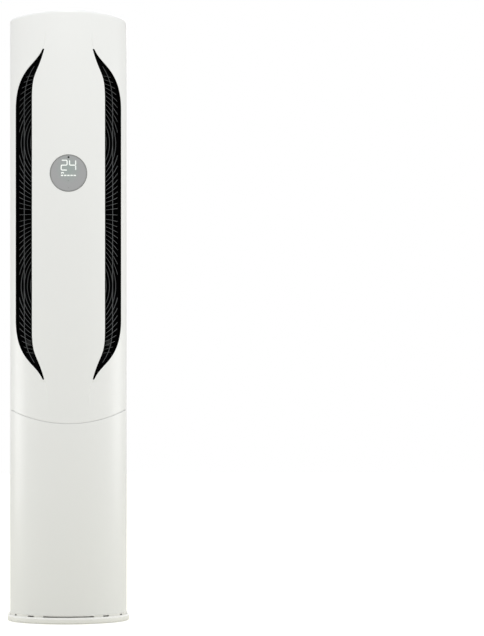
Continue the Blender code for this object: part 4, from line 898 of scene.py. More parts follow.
def buildFrontPanel():
    panel = halfShell("frontPanel", panelRows())
    window = circle(display["diameter"] / 2 + fit, 128, (0.0, display["height"]))
    carve(panel, prismParts("Y", window, -0.3, -0.02))
    root = wall * 0.6
    outer = wall + fit
    inner = outer + tower["tongue"]
    reach = tower["tongueReach"]
    profile = [
        (outer, -reach, seam), (outer, 2 * joint, seam), (root, 4 * joint, seam), (root, reach / 2, seam),
        (inner, reach / 2 + tower["tongue"], seam), (inner, -reach, seam),
    ]
    joinInto(panel, meshObject("tongue", *frontStrip(partingFront - reach - 4 * fit, profile)))
    dress(panel, whiteMoulding, "front_panel")


def buildLowerCover():
    inset = tower["floorFlangeInset"]
    flange = coverBottom + tower["floorFlange"]
    profile = [(jointRound * s, -jointRound * c, coverSeam) for s, c in quarter(3)]
    profile.append((0.0, -0.004, coverSeam))
    profile += [(2 * jointRound * c, coverBottom + 2 * jointRound * s, ground) for s, c in quarter(3)]
    profile += [(inset, coverBottom, ground), (inset, flange, ground), (wall, flange, ground), (wall, 0.0, coverSeam)]
    cover = meshObject("lowerFrontCover", *frontStrip(partingFront, profile, 150))
    dress(cover, whiteMoulding, "lower_front_cover", body="lower_cover")


buildFrontPanel()
buildLowerCover()
print("front mouldings ready")


# Outlet guards

guard = {
    "rimSetback": 0.0015,
    "rimDepth": 0.013,
    "rimWall": 0.0016,
    "flange": 0.008,
    "edgeFlange": 0.0025,
    "edgeFlangeFrom": 0.1486,
    "soft": 0.0003,
    "faceSetback": 0.0085,
    "faceDepth": 0.0036,
    "faceColumns": 8,
    "blankEdge": 0.011,
    "blankEnd": 0.0815,
    "blankStep": 0.0002,
    "fanSpacing": 0.4290,
    "ringFirst": 0.1140 - 0.00957,
    "ringPitch": 0.00957,
    "ribWidth": 0.00075,
    "ribBack": 0.0004,
    "ribDepth": 0.0022,
    "ribSetback": -0.0014,
    "ribEnd": 0.043,
    "barPlace": 0.46,
    "barWidth": 0.0012,
    "barEnd": 0.008,
}
rimOut = fit + joint
rimIn = rimOut + guard["rimWall"]
ribReach = (outletTop - outletBottom) / 2 - guard["ribEnd"]


def ribPaths():
    half = guard["fanSpacing"] / 2
    pitch = guard["ringPitch"]

    def inside(x, z):
        near, far = outletSpan(z)
        near = near + rimIn - guard["rimWall"] / 2
        return abs(z - outletMiddle) <= ribReach and near < x < far - guard["blankEdge"] + guard["rimWall"] / 2

    near, far = outletSpan(outletMiddle)
    near += rimIn
    far -= guard["blankEdge"]
    paths = [[(near + (far - near) * k / 8, outletMiddle) for k in range(9)]]
    radius = guard["ringFirst"]
    while True:
        rise = sqrt(max(radius**2 - outlet["inner"] ** 2, 0.0))
        if rise > half - pitch / 2:
            return paths
        roundness = 1 - max(0.0, 2 * rise / half - 1) ** 2
        widest = acos(min(1.0, outletTip / radius))
        turns = [widest * k / 160 for k in range(161)]
        ring = [(radius * cos(a), rise + roundness * (radius * sin(a) - rise)) for a in turns]
        ring = [(x, -z) for x, z in reversed(ring[1:])] + ring
        for fan in (outletMiddle + half, outletMiddle - half):
            run = []
            for x, z in ring + [(9.0, 9.0)]:
                if inside(x, fan + z):
                    run.append((x, fan + z))
                    continue
                if len(run) > 3:
                    paths.append(run[::3] + ([run[-1]] if len(run) % 3 != 1 else []))
                run = []
        radius += pitch


def endTree(tree, start, geometry):
    # the instances become one mesh of the given material
    realized = add(tree, "GeometryNodeRealizeInstances", {"Geometry": geometry}).outputs["Geometry"]
    coloured = add(tree, "GeometryNodeSetMaterial", {"Geometry": realized, "Material": start["Material"]})
    add(tree, "NodeGroupOutput", {"Geometry": coloured.outputs["Geometry"]})
    return tree


def outwardOf(tree):
    return add(tree, "GeometryNodeInputNamedAttribute", {"Name": "outward"}, data_type="FLOAT_VECTOR").outputs[0]


def ribTree():
    # sweeps a wedge along each path, held by the surface's own way out
    tree, start = newTree("sweptRibs", "Geometry", (
        ("Geometry", "Geometry"), ("Front Width", "Float", 0.0017), ("Back Width", "Float", 0.0009),
        ("Depth", "Float", 0.0029), ("Material", "Material"),
    ), (("Geometry", "Geometry"),))
    curve = add(tree, "GeometryNodeMeshToCurve", {"Mesh": start["Geometry"]}).outputs["Curve"]
    turned = add(tree, "GeometryNodeSetCurveNormal", {"Curve": curve, "Normal": outwardOf(tree)}, mode="FREE")
    corners = {}
    for k, (label, share, deep) in enumerate((
        ("Front Width", 0.5, 0.0), ("Front Width", -0.5, 0.0), ("Back Width", -0.5, 1.0), ("Back Width", 0.5, 1.0),
    )):
        corners[f"Point {k + 1}"] = add(tree, "ShaderNodeCombineXYZ", {
            "X": mathNode(tree, "MULTIPLY", start["Depth"], -deep),
            "Y": mathNode(tree, "MULTIPLY", start[label], share),
        }).outputs[0]
    wedge = add(tree, "GeometryNodeCurvePrimitiveQuadrilateral", corners, mode="POINTS")
    swept = add(tree, "GeometryNodeCurveToMesh", {
        "Curve": turned.outputs["Curve"], "Profile Curve": wedge.outputs["Curve"], "Fill Caps": True,
    })
    return endTree(tree, start, swept.outputs["Mesh"])


def treeOver(name, tree, points, edges, ways, values):
    # what the tree makes of points that each carry a way out
    mesh = bpy.data.meshes.new(name)
    mesh.from_pydata(points, edges, [])
    attribute = mesh.attributes.new("outward", "FLOAT_VECTOR", "POINT")
    attribute.data.foreach_set("vector", [c for way in ways for c in way])
    return treeOn(link(name, mesh), tree, values)


def treeOn(obj, tree, values):
    modifier = obj.modifiers.new("tree", "NODES")
    modifier.node_group = tree
    for item in tree.interface.items_tree:
        if item.item_type == "SOCKET" and item.in_out == "INPUT" and item.name in values:
            modifier[item.identifier] = values[item.name]
    return settle(obj)


def sweptRibs(name, tree, paths, side, inset, width):
    points = []
    ways = []
    edges = []
    for path in paths:
        for k, (x, z) in enumerate(path):
            place, out = frontPlace(x, z, inset)
            if k:
                edges.append((len(points) - 1, len(points)))
            points.append((side * place.x, place.y, place.z))
            ways.append((side * out.x, out.y, 0.0))
    obj = treeOver(name, tree, points, edges, ways, {
        "Front Width": width, "Back Width": guard["ribBack"], "Depth": guard["ribDepth"], "Material": ribGreyPaintedSheen,
    })
    faceOut(obj.data)
    return obj


def guardFrame(side):
    # flange, rim and the plain band, as loops about the opening
    deep = guard["rimDepth"]
    seat = wall + fit
    flangeBack = seat + guard["rimWall"]
    setback = guard["rimSetback"]
    soft = guard["soft"]

    def flangeReach(x):
        return guard["edgeFlange"] if x > guard["edgeFlangeFrom"] else guard["flange"]

    loops = []
    for inset, amount in (
        (setback + soft, -rimOut), (setback, -rimOut - soft), (setback, -rimIn + soft), (setback + soft, -rimIn),
        (deep, -rimIn), (deep, -rimOut), (flangeBack, -rimOut), (flangeBack, flangeReach), (seat, flangeReach),
        (seat, -rimOut),
    ):
        loops.append([onFront(x, z, inset, side) for x, z in grown(opening, amount)])
    parts = [sweepParts([list(section) for section in zip(*loops)], loop=True)]
    rows = []
    for k in range(openingRows):
        low = opening[k][0] + rimIn - soft
        high = opening[-k][0] - rimIn + soft
        if high - low > 0.0008:
            rows.append((opening[k][1], low, high))
    edgeEnd = outletTop - guard["blankEnd"]
    edgeLow = outletBottom + guard["blankEnd"]
    for z, inward in ((edgeEnd, -guard["blankStep"]), (edgeLow, guard["blankStep"])):
        near, far = outletSpan(z)
        far = far - rimIn + soft
        rows.append((z, near + rimIn - soft, far))
        rows.append((z + inward, far - guard["blankEdge"] + rimIn, far))
    rows.sort(key=lambda row: -row[0])
    count = guard["faceColumns"]
    shares = [j / count for j in range(count + 1)]
    face = guard["faceSetback"]
    sections = []
    for z, low, high in rows:
        if edgeLow < z < edgeEnd:
            low = outletSpan(z)[1] - guard["blankEdge"]
        section = [onFront(low + (high - low) * share, z, face, side) for share in shares]
        back = face + guard["faceDepth"]
        section += [onFront(low + (high - low) * (1 - share), z, back, side) for share in shares]
        sections.append(section)
    return parts + [sweepParts(sections)]


def buildGuards():
    tree = ribTree()
    paths = ribPaths()
    bar = []
    for k in range(61):
        z = outletMiddle + (ribReach - guard["barEnd"]) * (1 - k / 30)
        near, far = outletSpan(z)
        near += rimIn
        bar.append((near + guard["barPlace"] * (far - near), z))
    inset = guard["faceSetback"] + guard["ribSetback"]
    for hand, side in hands:
        body = gather(f"outletGuard_{hand}", guardFrame(side))
        ribs = sweptRibs(f"guardRibs_{hand}", tree, paths, side, inset, guard["ribWidth"])
        joinInto(ribs, sweptRibs("bar", tree, [bar], side, inset - guard["soft"], guard["barWidth"]))
        dress(body, blackMoulding, f"outlet_guard_{hand}", angle=40.0)
        dress(ribs, ribGreyPaintedSheen, angle=40.0)


buildGuards()
print("outlet guards ready")


# Display


def softPath(points, radius, step=0.0005):
    # a broken line with round corners, in even steps
    run = [Vector(points[0])]
    for k in range(1, len(points) - 1):
        before, here, after = (Vector(p) for p in points[k - 1 : k + 2])
        first = here + (before - here).normalized() * radius
        run += cornerCurve(first, here, here + (after - here).normalized() * radius, 6)
    run.append(Vector(points[-1]))
    even = [run[0]]
    for a, b in zip(run, run[1:]):
        count = max(1, round((b - a).length / step))
        even += [a + (b - a) * (i + 1) / count for i in range(count)]
    return even


def strokeParts(points, width, radius):
    # a ribbon with round ends that follows the curved front
    front, back = displayMarks["front"], displayMarks["back"]
    path = softPath([(x, display["height"] + z) for x, z in points], radius)
    lengths = [0.0]
    for a, b in zip(path, path[1:]):
        lengths.append(lengths[-1] + (b - a).length)
    sections = []
    for k, here in enumerate(path):
        run = (path[min(k + 1, len(path) - 1)] - path[max(k - 1, 0)]).normalized()
        end = min(lengths[k], lengths[-1] - lengths[k]) / (width / 2)
        half = width / 2 * (sqrt(max(0.02, 1 - (1 - end) ** 2)) if end < 1 else 1.0)
        aside = Vector((-run.y, run.x)) * half
        a = here + aside
        b = here - aside
        sections.append([onFront(p.x, p.y, inset) for p, inset in ((a, front), (b, front), (b, back), (a, back))])
    return sweepParts(sections)


displayMarks = {
    "front": 0.00004,
    "back": 0.0006,
    "stroke": (0.0032, 0.0034),  # width and corner radius
    "digits": [
        [(-0.0203, 0.0384), (-0.0042, 0.0384), (-0.0042, 0.0238), (-0.0218, 0.0238), (-0.0218, 0.0091),
         (-0.0044, 0.0091)],
        [(0.0032, 0.0382), (0.0032, 0.0238), (0.0205, 0.0238)],
        [(0.0215, 0.0382), (0.0215, 0.0246)],
        [(0.0215, 0.0230), (0.0215, 0.0092)],
    ],
    "iconStroke": (0.0031, 0.0014),
    "icon": [[(-0.0208, -0.0018), (-0.0208, 0.0014), (-0.0148, 0.0014), (-0.0148, -0.0018)]],
    "barStroke": (0.0038, 0.001),
    "bars": [[(x - 0.0039, -0.0069), (x + 0.0039, -0.0069)] for x in (-0.0192, -0.0097, -0.0002, 0.0093, 0.0188)],
    "touchStroke": (0.0030, 0.001),
    "touch": [[(-0.0028, -0.0228), (0.0028, -0.0228)], [(-0.0018, -0.0440), (0.0018, -0.0440)]],
}


def buildDisplay():
    height = display["height"]
    outer = display["diameter"] / 2
    bore = outer - display["bezelWall"]
    setback = display["bezelSetback"]
    # housing ring: the front edge follows the panel's curve
    cupBack = display["cupDepth"] - frontDepth
    floor = cupBack - display["bezelWall"]
    cable = display["cableBore"]
    near, far = display["innerSoft"], display["outerSoft"]
    sections = []
    for a in aroundTurn(128):
        section = []
        for radius, inset in ((bore, setback + near), (bore + near, setback), (outer - far, setback),
                              (outer, setback + far)):
            section.append(onFront(radius * cos(a), height + radius * sin(a), inset))
        for radius, y in ((outer, cupBack), (cable, cupBack), (cable, floor), (bore, floor)):
            section.append((radius * cos(a), y, height + radius * sin(a)))
        sections.append(section)
    dress(sweep("displayHousing", sections, loop=True), bezelGrey, "display_housing")

    # lens: rings of points on the panel's curve
    size = bore - fit
    level = display["lensSetback"]
    rings = [(size, display["lensThickness"]), (size, display["lensEdge"]), (size - display["lensSoft"], level)]
    rings += [(size * share, level) for share in display["lensRings"]]
    lens = sweep("displayLens", [
        [onFront(radius * cos(a), height + radius * sin(a), inset) for a in aroundTurn(96)] for radius, inset in rings
    ])
    eye = height + display["receiverRise"]
    carve(lens, prismParts("Y", circle(display["receiverRadius"] + fit, 40, (0.0, eye)), -0.2, -0.1))
    dress(lens, discGrey, "display_lens")
    receiver = lathe("receiverWindow", "Y", [
        (0.0001, -0.1488), (0.0012, -0.1487), (0.0023, -0.1482), (0.0028, -0.1476), (0.0028, -0.1470),
        (0.0001, -0.1470),
    ], 32, (0.0, 0.0, eye))
    dress(receiver, smokedLens, "receiver_window")

    def marks(name, material, *kinds):
        parts = [strokeParts(run, *displayMarks[stroke]) for kind, stroke in kinds for run in displayMarks[kind]]
        dress(gather(name, parts), material)

    marks("displayMarks", litWhite, ("digits", "stroke"), ("icon", "iconStroke"), ("bars", "barStroke"))
    marks("touchMarks", touchGrey, ("touch", "touchStroke"))


buildDisplay()
print("display ready")


# Rear cabinet, top cover and base

intake = {
    "top": 1.688,
    "bottom": 0.767,
    "half": 0.105,
    "border": 0.012,
    "pitch": 0.040,
    "bar": 0.010,
    "slat": 0.0022,
    "slatsPerGap": 3,
    "slatDepth": 0.82,
    "slatShift": 0.06,
    "slatLean": 0.20,
    "front": 0.1447,
    "flange": 0.0025,
    "overlap": 0.005,
    "soft": 0.0006,
    "filterBorder": 0.009,
    "slotGap": 0.0015,
    "slotDepths": (0.1181, 0.1357),
    "slotFrom": 0.112,
    "corners": (0.0015, 0.0012),
    "screwInset": 0.0055,
    "screwShares": (0.006, 0.5, 0.994),
    "screwSink": 0.0007,
}
exits = {"pipe": (0.035, 0.0, 0.160), "cord": (0.008, 0.070, 0.070)}  # radius, x, height
intakeLow, intakeHigh = intake["bottom"], intake["top"]


def buildRearCabinet():
    edge = jointRound
    rim, ledge = tower["topRim"], tower["topLedge"]
    floorInset = tower["floorFlangeInset"]
    flange = coverBottom + tower["floorFlange"]
    profile = [(0.0, coverBottom + 2 * edge, ground)]
    profile += [(fillet * c, -fillet * s, crown) for s, c in quarter(8)]
    profile += [
        (rim - edge, 0.0, crown), (rim, -edge, crown), (rim, -wall, crown), (ledge, -wall, crown),
        (ledge, -2 * wall, crown), (fillet, -2 * wall, crown), (wall, -fillet - wall, crown),
        (wall, flange, ground), (floorInset, flange, ground), (floorInset, coverBottom, ground),
        (2 * edge, coverBottom, ground), (0.6 * edge, coverBottom + 0.6 * edge, ground),
    ]
    lines = []
    for inset, rise, level in profile:
        first = sideTurn(partingRear, inset)
        ends = [frontPoint(first * k / 8, inset) for k in range(8, 0, -1)]
        line = ends + rearOutline(inset) + [(-x, y) for x, y in reversed(ends)]
        lines.append([(x, y, level(x) + rise) for x, y in line])
    cabinet = sweep("rearCabinet", list(zip(*lines)))
    # intake, filter slots, pipe exit and cord gland
    half = intake["half"]
    carve(cabinet, boxParts((-half, 0.075, intakeLow), (half, 0.3, intakeHigh)))
    near, far = intake["slotDepths"]
    grow = intake["filterBorder"] + intake["slotGap"]
    for _, side in hands:
        ends = sorted((side * intake["slotFrom"], side * 0.4))
        carve(cabinet, boxParts((ends[0], near, intakeLow - grow), (ends[1], far, intakeHigh + grow)))
    for radius, x, z in exits.values():
        carve(cabinet, prismParts("Y", circle(radius, 96, (x, z)), 0.075, 0.3))
    joinInto(cabinet, gather("tongues", partingTongues()))
    soften(cabinet.data)
    # the large flat back takes the light evenly up to its round corners
    cabinet.modifiers.new("flat", "WEIGHTED_NORMAL").keep_sharp = True
    finish(settle(cabinet), whiteMoulding, "cabinet", ["rear_cabinet"])


def partingTongues():
    # the cabinet's lip behind the edge of the front mouldings
    root = wall * 0.6
    reach = tower["tongueReach"]
    first = partingRear - 2 * joint - reach
    step = partingRear + 2 * joint
    last = partingRear + reach / 2
    near = wall + fit
    far = near + tower["tongue"]
    rows = [(first, near), (step, near), (step, root), (last, root), (last + tower["tongue"], far), (first, far)]
    outline = [frontPoint(sideTurn(y, inset), inset) for y, inset in rows]
    low = coverBottom + tower["floorFlange"] + fit
    high = crown(halfWidth) - fillet - 3 * wall
    return [prismParts("Z", [(side * x, y) for x, y in outline], low, high) for _, side in hands]


def buildTopCover():
    inset = tower["topRim"] + 2 * joint
    thick = wall - fit

    def level(extra, rise, share=1.0):
        return [(x * share, y * share, crown(x * share) + rise) for x, y in bodyOutline(inset + extra)]

    rows = [level(0.0, -thick, share) for share in (0.08, 0.45, 0.85)]
    rows += [level(extra, rise) for extra, rise in ((0.0, -thick), (0.0, -0.0004), (0.0002, -0.0001), (0.0005, 0.0))]
    rows += [level(0.0005, 0.0, share) for share in (0.85, 0.65, 0.45, 0.25, 0.08)]
    dress(sweep("topCover", rows), whiteMoulding, "top_cover")


base = {
    "foot": 0.002,
    "height": 0.018,
    "lip": 0.007,
    "lowRound": 0.0030,
    "round": 0.0015,
    "shoulder": 0.0165,
    "soft": 0.0004,
    "shadowLine": (0.0191, 0.0242),
    "shadowDepth": 0.0018,
    "skin": 0.004,
    "rib": 0.004,
    "skirtWall": 0.003,
    "windowHeight": 0.0042,
    "screenInset": 0.0175,
    "screenWall": 0.0015,
    "windows": ((0.0, 0.152), (0.1125, 0.017), (0.1585, 0.005)),
    "footRadius": 0.014,
    "footHeight": 0.0042,
    "footBore": 0.002,
    "footGrooves": (0.004, 0.007, 0.010),
    "footPlaces": {"front": (0.10576, -0.08318), "rear": (0.147, 0.085)},
}
footSpots = [(f"{end}_{hand}", side * x, y) for end, (x, y) in base["footPlaces"].items() for hand, side in hands]


def levelOutline(inset, z):
    return [(x, y, z) for x, y in bodyOutline(inset)]


def buildBase():
    foot = base["foot"]
    top = foot + base["height"]
    lip, low, soft = base["lip"], base["lowRound"], base["soft"]
    levels = [(low * s - lip, foot + low * c) for s, c in quarter(5)]
    levels += [(base["round"] * c - lip, base["shoulder"] - base["round"] * s) for s, c in quarter(7)]
    out, ledge = levels[-1]
    high = coverBottom - fit
    levels += [(out * s, ledge + (high - soft - ledge) * c) for s, c in quarter(9, 1)]
    skirt = base["skirtWall"]
    levels += [(soft, high), (skirt - fit, high), (skirt, high - fit), (skirt, top)]
    plinth = sweep("basePlinth", [levelOutline(inset, z) for inset, z in levels])
    tall = base["windowHeight"]
    for middle, width in base["windows"]:
        for x in sorted({-middle, middle}):
            outline = roundedBox(width, tall, 0.0006, 4, (x, top + tall / 2 + 0.0002))
            carve(plinth, prismParts("Y", outline, -0.2, -0.001 if middle else -0.12))
    lowLine, highLine = base["shadowLine"]
    deep = base["shadowDepth"]
    corners = ((-0.006, lowLine), (deep, lowLine), (deep, highLine), (-0.006, highLine))
    carve(plinth, frontStrip(-0.012, [(inset, z, ground) for inset, z in corners]))
    near = base["screenInset"]
    far = near + base["screenWall"]
    corners = ((near, top - 0.001), (near, high - 0.0006), (far, high - 0.0006), (far, top - 0.001))
    screen = sweep("screen", list(zip(*[levelOutline(inset, z) for inset, z in corners])), loop=True)
    rib = base["rib"]
    hollow = sweep("hollow", [levelOutline(rib, z) for z in (-0.01, top - base["skin"])])
    carve(hollow, boxParts((-0.2, -rib / 2, -0.02), (0.2, rib / 2, 0.05)),
          boxParts((-rib / 2, -0.2, -0.02), (rib / 2, 0.2, 0.05)))
    radius = base["footRadius"]
    for _, x, y in footSpots:
        carve(hollow, prismParts("Z", circle(radius + rib, 40, (x, y)), -0.02, 0.05))
    carve(plinth, hollow)
    for _, x, y in footSpots:
        carve(plinth, prismParts("Z", circle(radius + fit, 40, (x, y)), -0.02, foot + 0.0025))
    joinInto(plinth, screen)
    dress(plinth, ivoryMoulding, "base_plinth")


def buildFeet():
    radius, tall = base["footRadius"], base["footHeight"]
    bore = base["footBore"]
    profile = [(bore, 0.0)]
    for groove in base["footGrooves"]:
        profile += [(groove, 0.0), (groove + 0.0004, 0.0006), (groove + 0.0010, 0.0006), (groove + 0.0014, 0.0)]
    profile += [(radius - 0.0006, 0.0), (radius, 0.0006), (radius, tall), (bore, tall)]
    dimple = [(0.0001, 0.0008), (0.00199, 0.0008), (0.00199, 0.0040), (0.0001, 0.0040)]
    for place, x, y in footSpots:
        foot = lathe(f"footPad_{place}", "Z", profile, 48, (x, y, 0.0))
        joinInto(foot, lathe("dimple", "Z", dimple, 24, (x, y, 0.0)))
        dress(foot, blackRubber, f"foot_pad_{place}")


buildRearCabinet()
buildTopCover()
buildBase()
buildFeet()
print("cabinet, top and base ready")


# Repeats and screws


def repeatTree():
    # copies the given shape in even steps, in rows
    tree, start = newTree("evenRows", "Geometry", (
        ("Geometry", "Geometry"), ("Count", "Int", 2), ("Step", "Vector"), ("Rows", "Int", 1),
        ("Row Step", "Vector"), ("Material", "Material"),
    ), (("Geometry", "Geometry"),))
    shape = start["Geometry"]
    for count, step in (("Count", "Step"), ("Rows", "Row Step")):
        line = add(tree, "GeometryNodeMeshLine", {"Count": start[count], "Offset": start[step]}).outputs["Mesh"]
        shape = add(tree, "GeometryNodeInstanceOnPoints", {"Points": line, "Instance": shape}).outputs["Instances"]
    return endTree(tree, start, shape)


def screwTree():
    # sets the screw on each point, its head along the point's own way out
    tree, start = newTree("setScrews", "Geometry", (
        ("Geometry", "Geometry"), ("Screw", "Object"), ("Size", "Float", 1.0), ("Seed", "Int", 7),
        ("Material", "Material"),
    ), (("Geometry", "Geometry"),))
    aimed = add(tree, "FunctionNodeAlignRotationToVector", {"Vector": outwardOf(tree)}, axis="Z")
    turn = add(tree, "FunctionNodeRandomValue", {3: 2 * pi, "Seed": start["Seed"]}, data_type="FLOAT")
    spin = add(tree, "FunctionNodeAxisAngleToRotation", {"Angle": turn.outputs[1]})
    whole = add(tree, "FunctionNodeRotateRotation", {
        "Rotation": aimed.outputs["Rotation"], "Rotate By": spin.outputs["Rotation"],
    }, rotation_space="LOCAL")
    source = add(tree, "GeometryNodeObjectInfo", {"Object": start["Screw"]})
    placed = add(tree, "GeometryNodeInstanceOnPoints", {
        "Points": start["Geometry"], "Instance": source.outputs["Geometry"], "Rotation": whole.outputs["Rotation"],
        "Scale": start["Size"],
    })
    return endTree(tree, start, placed.outputs["Instances"])


def repeated(name, parts, count, step, rows=1, rowStep=(0.0, 0.0, 0.0), material=None):
    return treeOn(gather(name, parts), evenRows, {
        "Count": count, "Step": step, "Rows": rows, "Row Step": rowStep, "Material": material,
    })


def screwShape():
    # a pan head 6.4 mm wide with a cross recess
    head = lathe("screw", "Z", [
        (0.00005, -0.0012), (0.0032, -0.0012), (0.0032, 0.0009), (0.0030, 0.0014), (0.0024, 0.0018),
        (0.0012, 0.0020), (0.00005, 0.0020),
    ], 24)
    for x, y in ((0.0019, 0.0004), (0.0004, 0.0019)):
        carve(head, boxParts((-x, -y, 0.0009), (x, y, 0.004)))
    soften(head.data)
    return head


def screws(name, places, size, way):
    obj = treeOver(name, setScrews, places, [], [(0.0, way, 0.0)] * len(places), {
        "Screw": screw, "Size": size, "Seed": 7, "Material": screwSteel,
    })
    finish(obj, screwSteel, "cabinet")


evenRows = repeatTree()
setScrews = screwTree()
screw = screwShape()


# Rear intake and filters


def buildIntakeGrille():
    back, front, border = rearDepth, intake["front"], intake["border"]
    half = intake["half"] - fit - joint
    low = intakeLow + fit + joint
    high = intakeHigh - fit - joint
    inner = intake["half"] - border
    height = intakeHigh - intakeLow - 2 * border

    def frameRing(outerHalf, bottom, top, inner, tall, near, far, soft):
        # a rectangular frame with softened rear edges
        edge = [(0.0, near), (0.0, far - soft), (0.3, far - soft * 0.3), (1.0, far)]
        outerRound, innerRound = intake["corners"]
        loops = []
        for halfX, sizeZ, radius, sign, rows in (
            (outerHalf, top - bottom, outerRound, -1, edge), (inner, tall, innerRound, 1, edge[::-1]),
        ):
            for share, y in rows:
                grow = sign * soft * share
                outline = roundedBox(2 * (halfX + grow), sizeZ + 2 * grow, radius, 3, (0.0, (bottom + top) / 2))
                loops.append([(x, y, z) for x, z in outline])
        return sweepParts(list(zip(*loops)), loop=True)

    over = intake["overlap"]
    parts = [
        frameRing(half, low, high, inner, height, front, back, intake["soft"]),
        frameRing(intake["half"] + over, intakeLow - over, intakeHigh + over, inner + 0.004, height + 0.008, front,
                  front + intake["flange"], 0.0002),
    ]
    bar, pitch, soft = intake["bar"], intake["pitch"], intake["soft"]
    rows = int((height + bar) / pitch)
    first = intakeLow + border + (height + bar - rows * pitch) / 2
    deep = back - front
    middle = (front + back) / 2
    post = roundedBox(bar, deep - 0.0008, soft, 3, (0.0, middle))
    parts.append(prismParts("Z", post, intakeLow + 0.002, intakeHigh - 0.002))
    grille = gather("rearIntakeGrille", parts)
    reach = inner + 0.001
    across = roundedBox(deep - 0.0004, bar, soft, 3, (middle, first - bar / 2))
    bars = repeated("bars", [prismParts("X", across, -reach, reach)], rows - 1, (0.0, 0.0, pitch),
                    material=whiteMoulding)
    bars.data.transform(Matrix.Translation((0.0, 0.0, pitch)))
    thin = intake["slat"]
    step = (pitch - bar) / (intake["slatsPerGap"] + 1)
    slat = roundedBox(deep * intake["slatDepth"], thin, thin * 0.45, 3,
                      (middle - deep * intake["slatShift"], first + step))
    lean = deep * intake["slatLean"]
    slat = [(y, z + (y - front) / deep * lean - lean / 2) for y, z in slat]
    slats = repeated("slats", [prismParts("X", slat, -reach, reach)], intake["slatsPerGap"], (0.0, 0.0, step), rows,
                     (0.0, 0.0, pitch), whiteMoulding)
    joinInto(grille, bars, slats)
    dress(grille, whiteMoulding, "rear_intake_grille", angle=40.0)
    reach = half - intake["screwInset"]
    y = back - intake["screwSink"]
    places = [(x, y, low + (high - low) * share) for x in (-reach, reach) for share in intake["screwShares"]]
    screws("grilleScrews", places, 0.7, 1.0)


filterShape = {
    "near": 0.005,
    "low": 0.758,
    "high": 1.697,
    "front": 0.1219,
    "rear": 0.1319,
    "border": 0.009,
    "soft": 0.0004,
    "ribs": 5,
    "ribSetback": 0.0012,
    "strand": 0.00045,
    "strandPitch": 0.0024,
    "grip": (0.0085, 0.060, 0.0012),
}


def rearX(y, inset):
    # x of the cabinet's round corner at a depth
    radius = rearCorner - inset
    return halfWidth - rearCorner + sqrt(radius**2 - (y - (rearDepth - rearCorner)) ** 2)


def buildFilter(hand, side):
    shape = filterShape
    low, high, front, rear, border = (shape[key] for key in ("low", "high", "front", "rear", "border"))

    # outer strip, part of the cabinet's round corner, with softened ends
    near, far = (intake["slotDepths"][0] + fit + joint, intake["slotDepths"][1] - fit - joint)
    ys = [near + (far - near) * k / 18 for k in range(19)]
    zLow = low - intake["slotGap"] + fit + joint
    zHigh = high + intake["slotGap"] - fit - joint
    soft = shape["soft"]
    profile = ((wall, zLow), (soft, zLow), (0.0, zLow + soft), (0.0, zHigh - soft), (soft, zHigh), (wall, zHigh))
    rows = []
    for y in ys:
        end = soft if y in (ys[0], ys[-1]) else 0.0
        rows.append([(side * rearX(y, inset or end), y, z) for inset, z in profile])
    strip = sweep(f"filter_{hand}_frame", rows)
    width, tall, deep = shape["grip"]
    middle = (near + far) / 2
    cut = []
    for out, grow in ((0.004, 0.0022), (0.0, 0.0004), (-deep * 0.7, -0.0003), (-deep, -0.0010)):
        ring = []
        for y, z in roundedBox(width, tall, width * 0.49, 8):
            place = middle + y * (1 + grow / (width / 2))
            ring.append((side * rearX(place, -out), place, (low + high) / 2 + z * (1 + grow / (tall / 2))))
        cut.append(ring)
    carve(strip, sweepParts(cut))

    # frame with its cross ribs, and the net between them
    last = rearX(rear, wall * 0.6)
    inner = last - border
    start = shape["near"]
    parts = []

    def bar(x0, x1, z0, z1, setback=0.0):
        xs = sorted((side * x0, side * x1))
        y0, y1 = front + setback, rear - setback
        outline = roundedBox(xs[1] - xs[0], y1 - y0, 0.0008, 3, ((xs[0] + xs[1]) / 2, (y0 + y1) / 2))
        parts.append(prismParts("Z", outline, z0, z1))

    def crossBar(z0, z1, setback):
        bar(start + border / 2, inner + border / 2, z0, z1, setback)

    bar(start, start + border, low, high)
    bar(inner, last, low, high)
    crossBar(low + fit, low + border, fit)
    crossBar(high - border, high - fit, fit)
    pitch = (high - low - border) / (shape["ribs"] + 1)
    for k in range(1, shape["ribs"] + 1):
        crossBar(low + k * pitch, low + k * pitch + border, shape["ribSetback"])
    joinInto(strip, gather("frame", parts))
    dress(strip, whiteMoulding, f"filter_{hand}", body=f"filter_{hand}", angle=40.0)

    thin = shape["strand"] / 2
    step = shape["strandPitch"]
    y = (front + rear) / 2
    x0, x1 = start + border * 0.7, inner + border * 0.3
    upright = boxParts((side * x0 - thin, y - thin, low + 0.004), (side * x0 + thin, y + thin, high - 0.004))
    count = int((x1 - x0) / step) + 1
    net = repeated(f"filterNet_{hand}", [upright], count, (side * step, 0.0, 0.0), material=netGrey)
    ends = sorted((side * x0, side * x1))
    level = boxParts((ends[0], y - thin, low + 0.006), (ends[1], y + thin, low + 0.006 + 2 * thin))
    joinInto(net, repeated("cross", [level], int((high - low - 0.012) / step) + 1, (0.0, 0.0, step), material=netGrey))
    dress(net, netGrey, body=f"filter_{hand}", angle=40.0)


buildIntakeGrille()
for hand, side in hands:
    buildFilter(hand, side)
print("intake and filters ready")


# Coil and pipes

coil = {
    "front": 0.0906,
    "rear": 0.1166,
    "half": 0.120,
    "low": 0.6966,
    "high": 1.693,
    "finPitch": 0.0019,
    "finThickness": 0.00025,
    "finInset": 0.0004,
    "sheet": 0.0015,
    "lip": 0.0012,
    "lipReach": 0.007,
    "bends": 8,
    "bendRadius": 0.0125,
    "tube": 0.004,
}
coilPitch = (coil["high"] - coil["low"]) / coil["bends"]


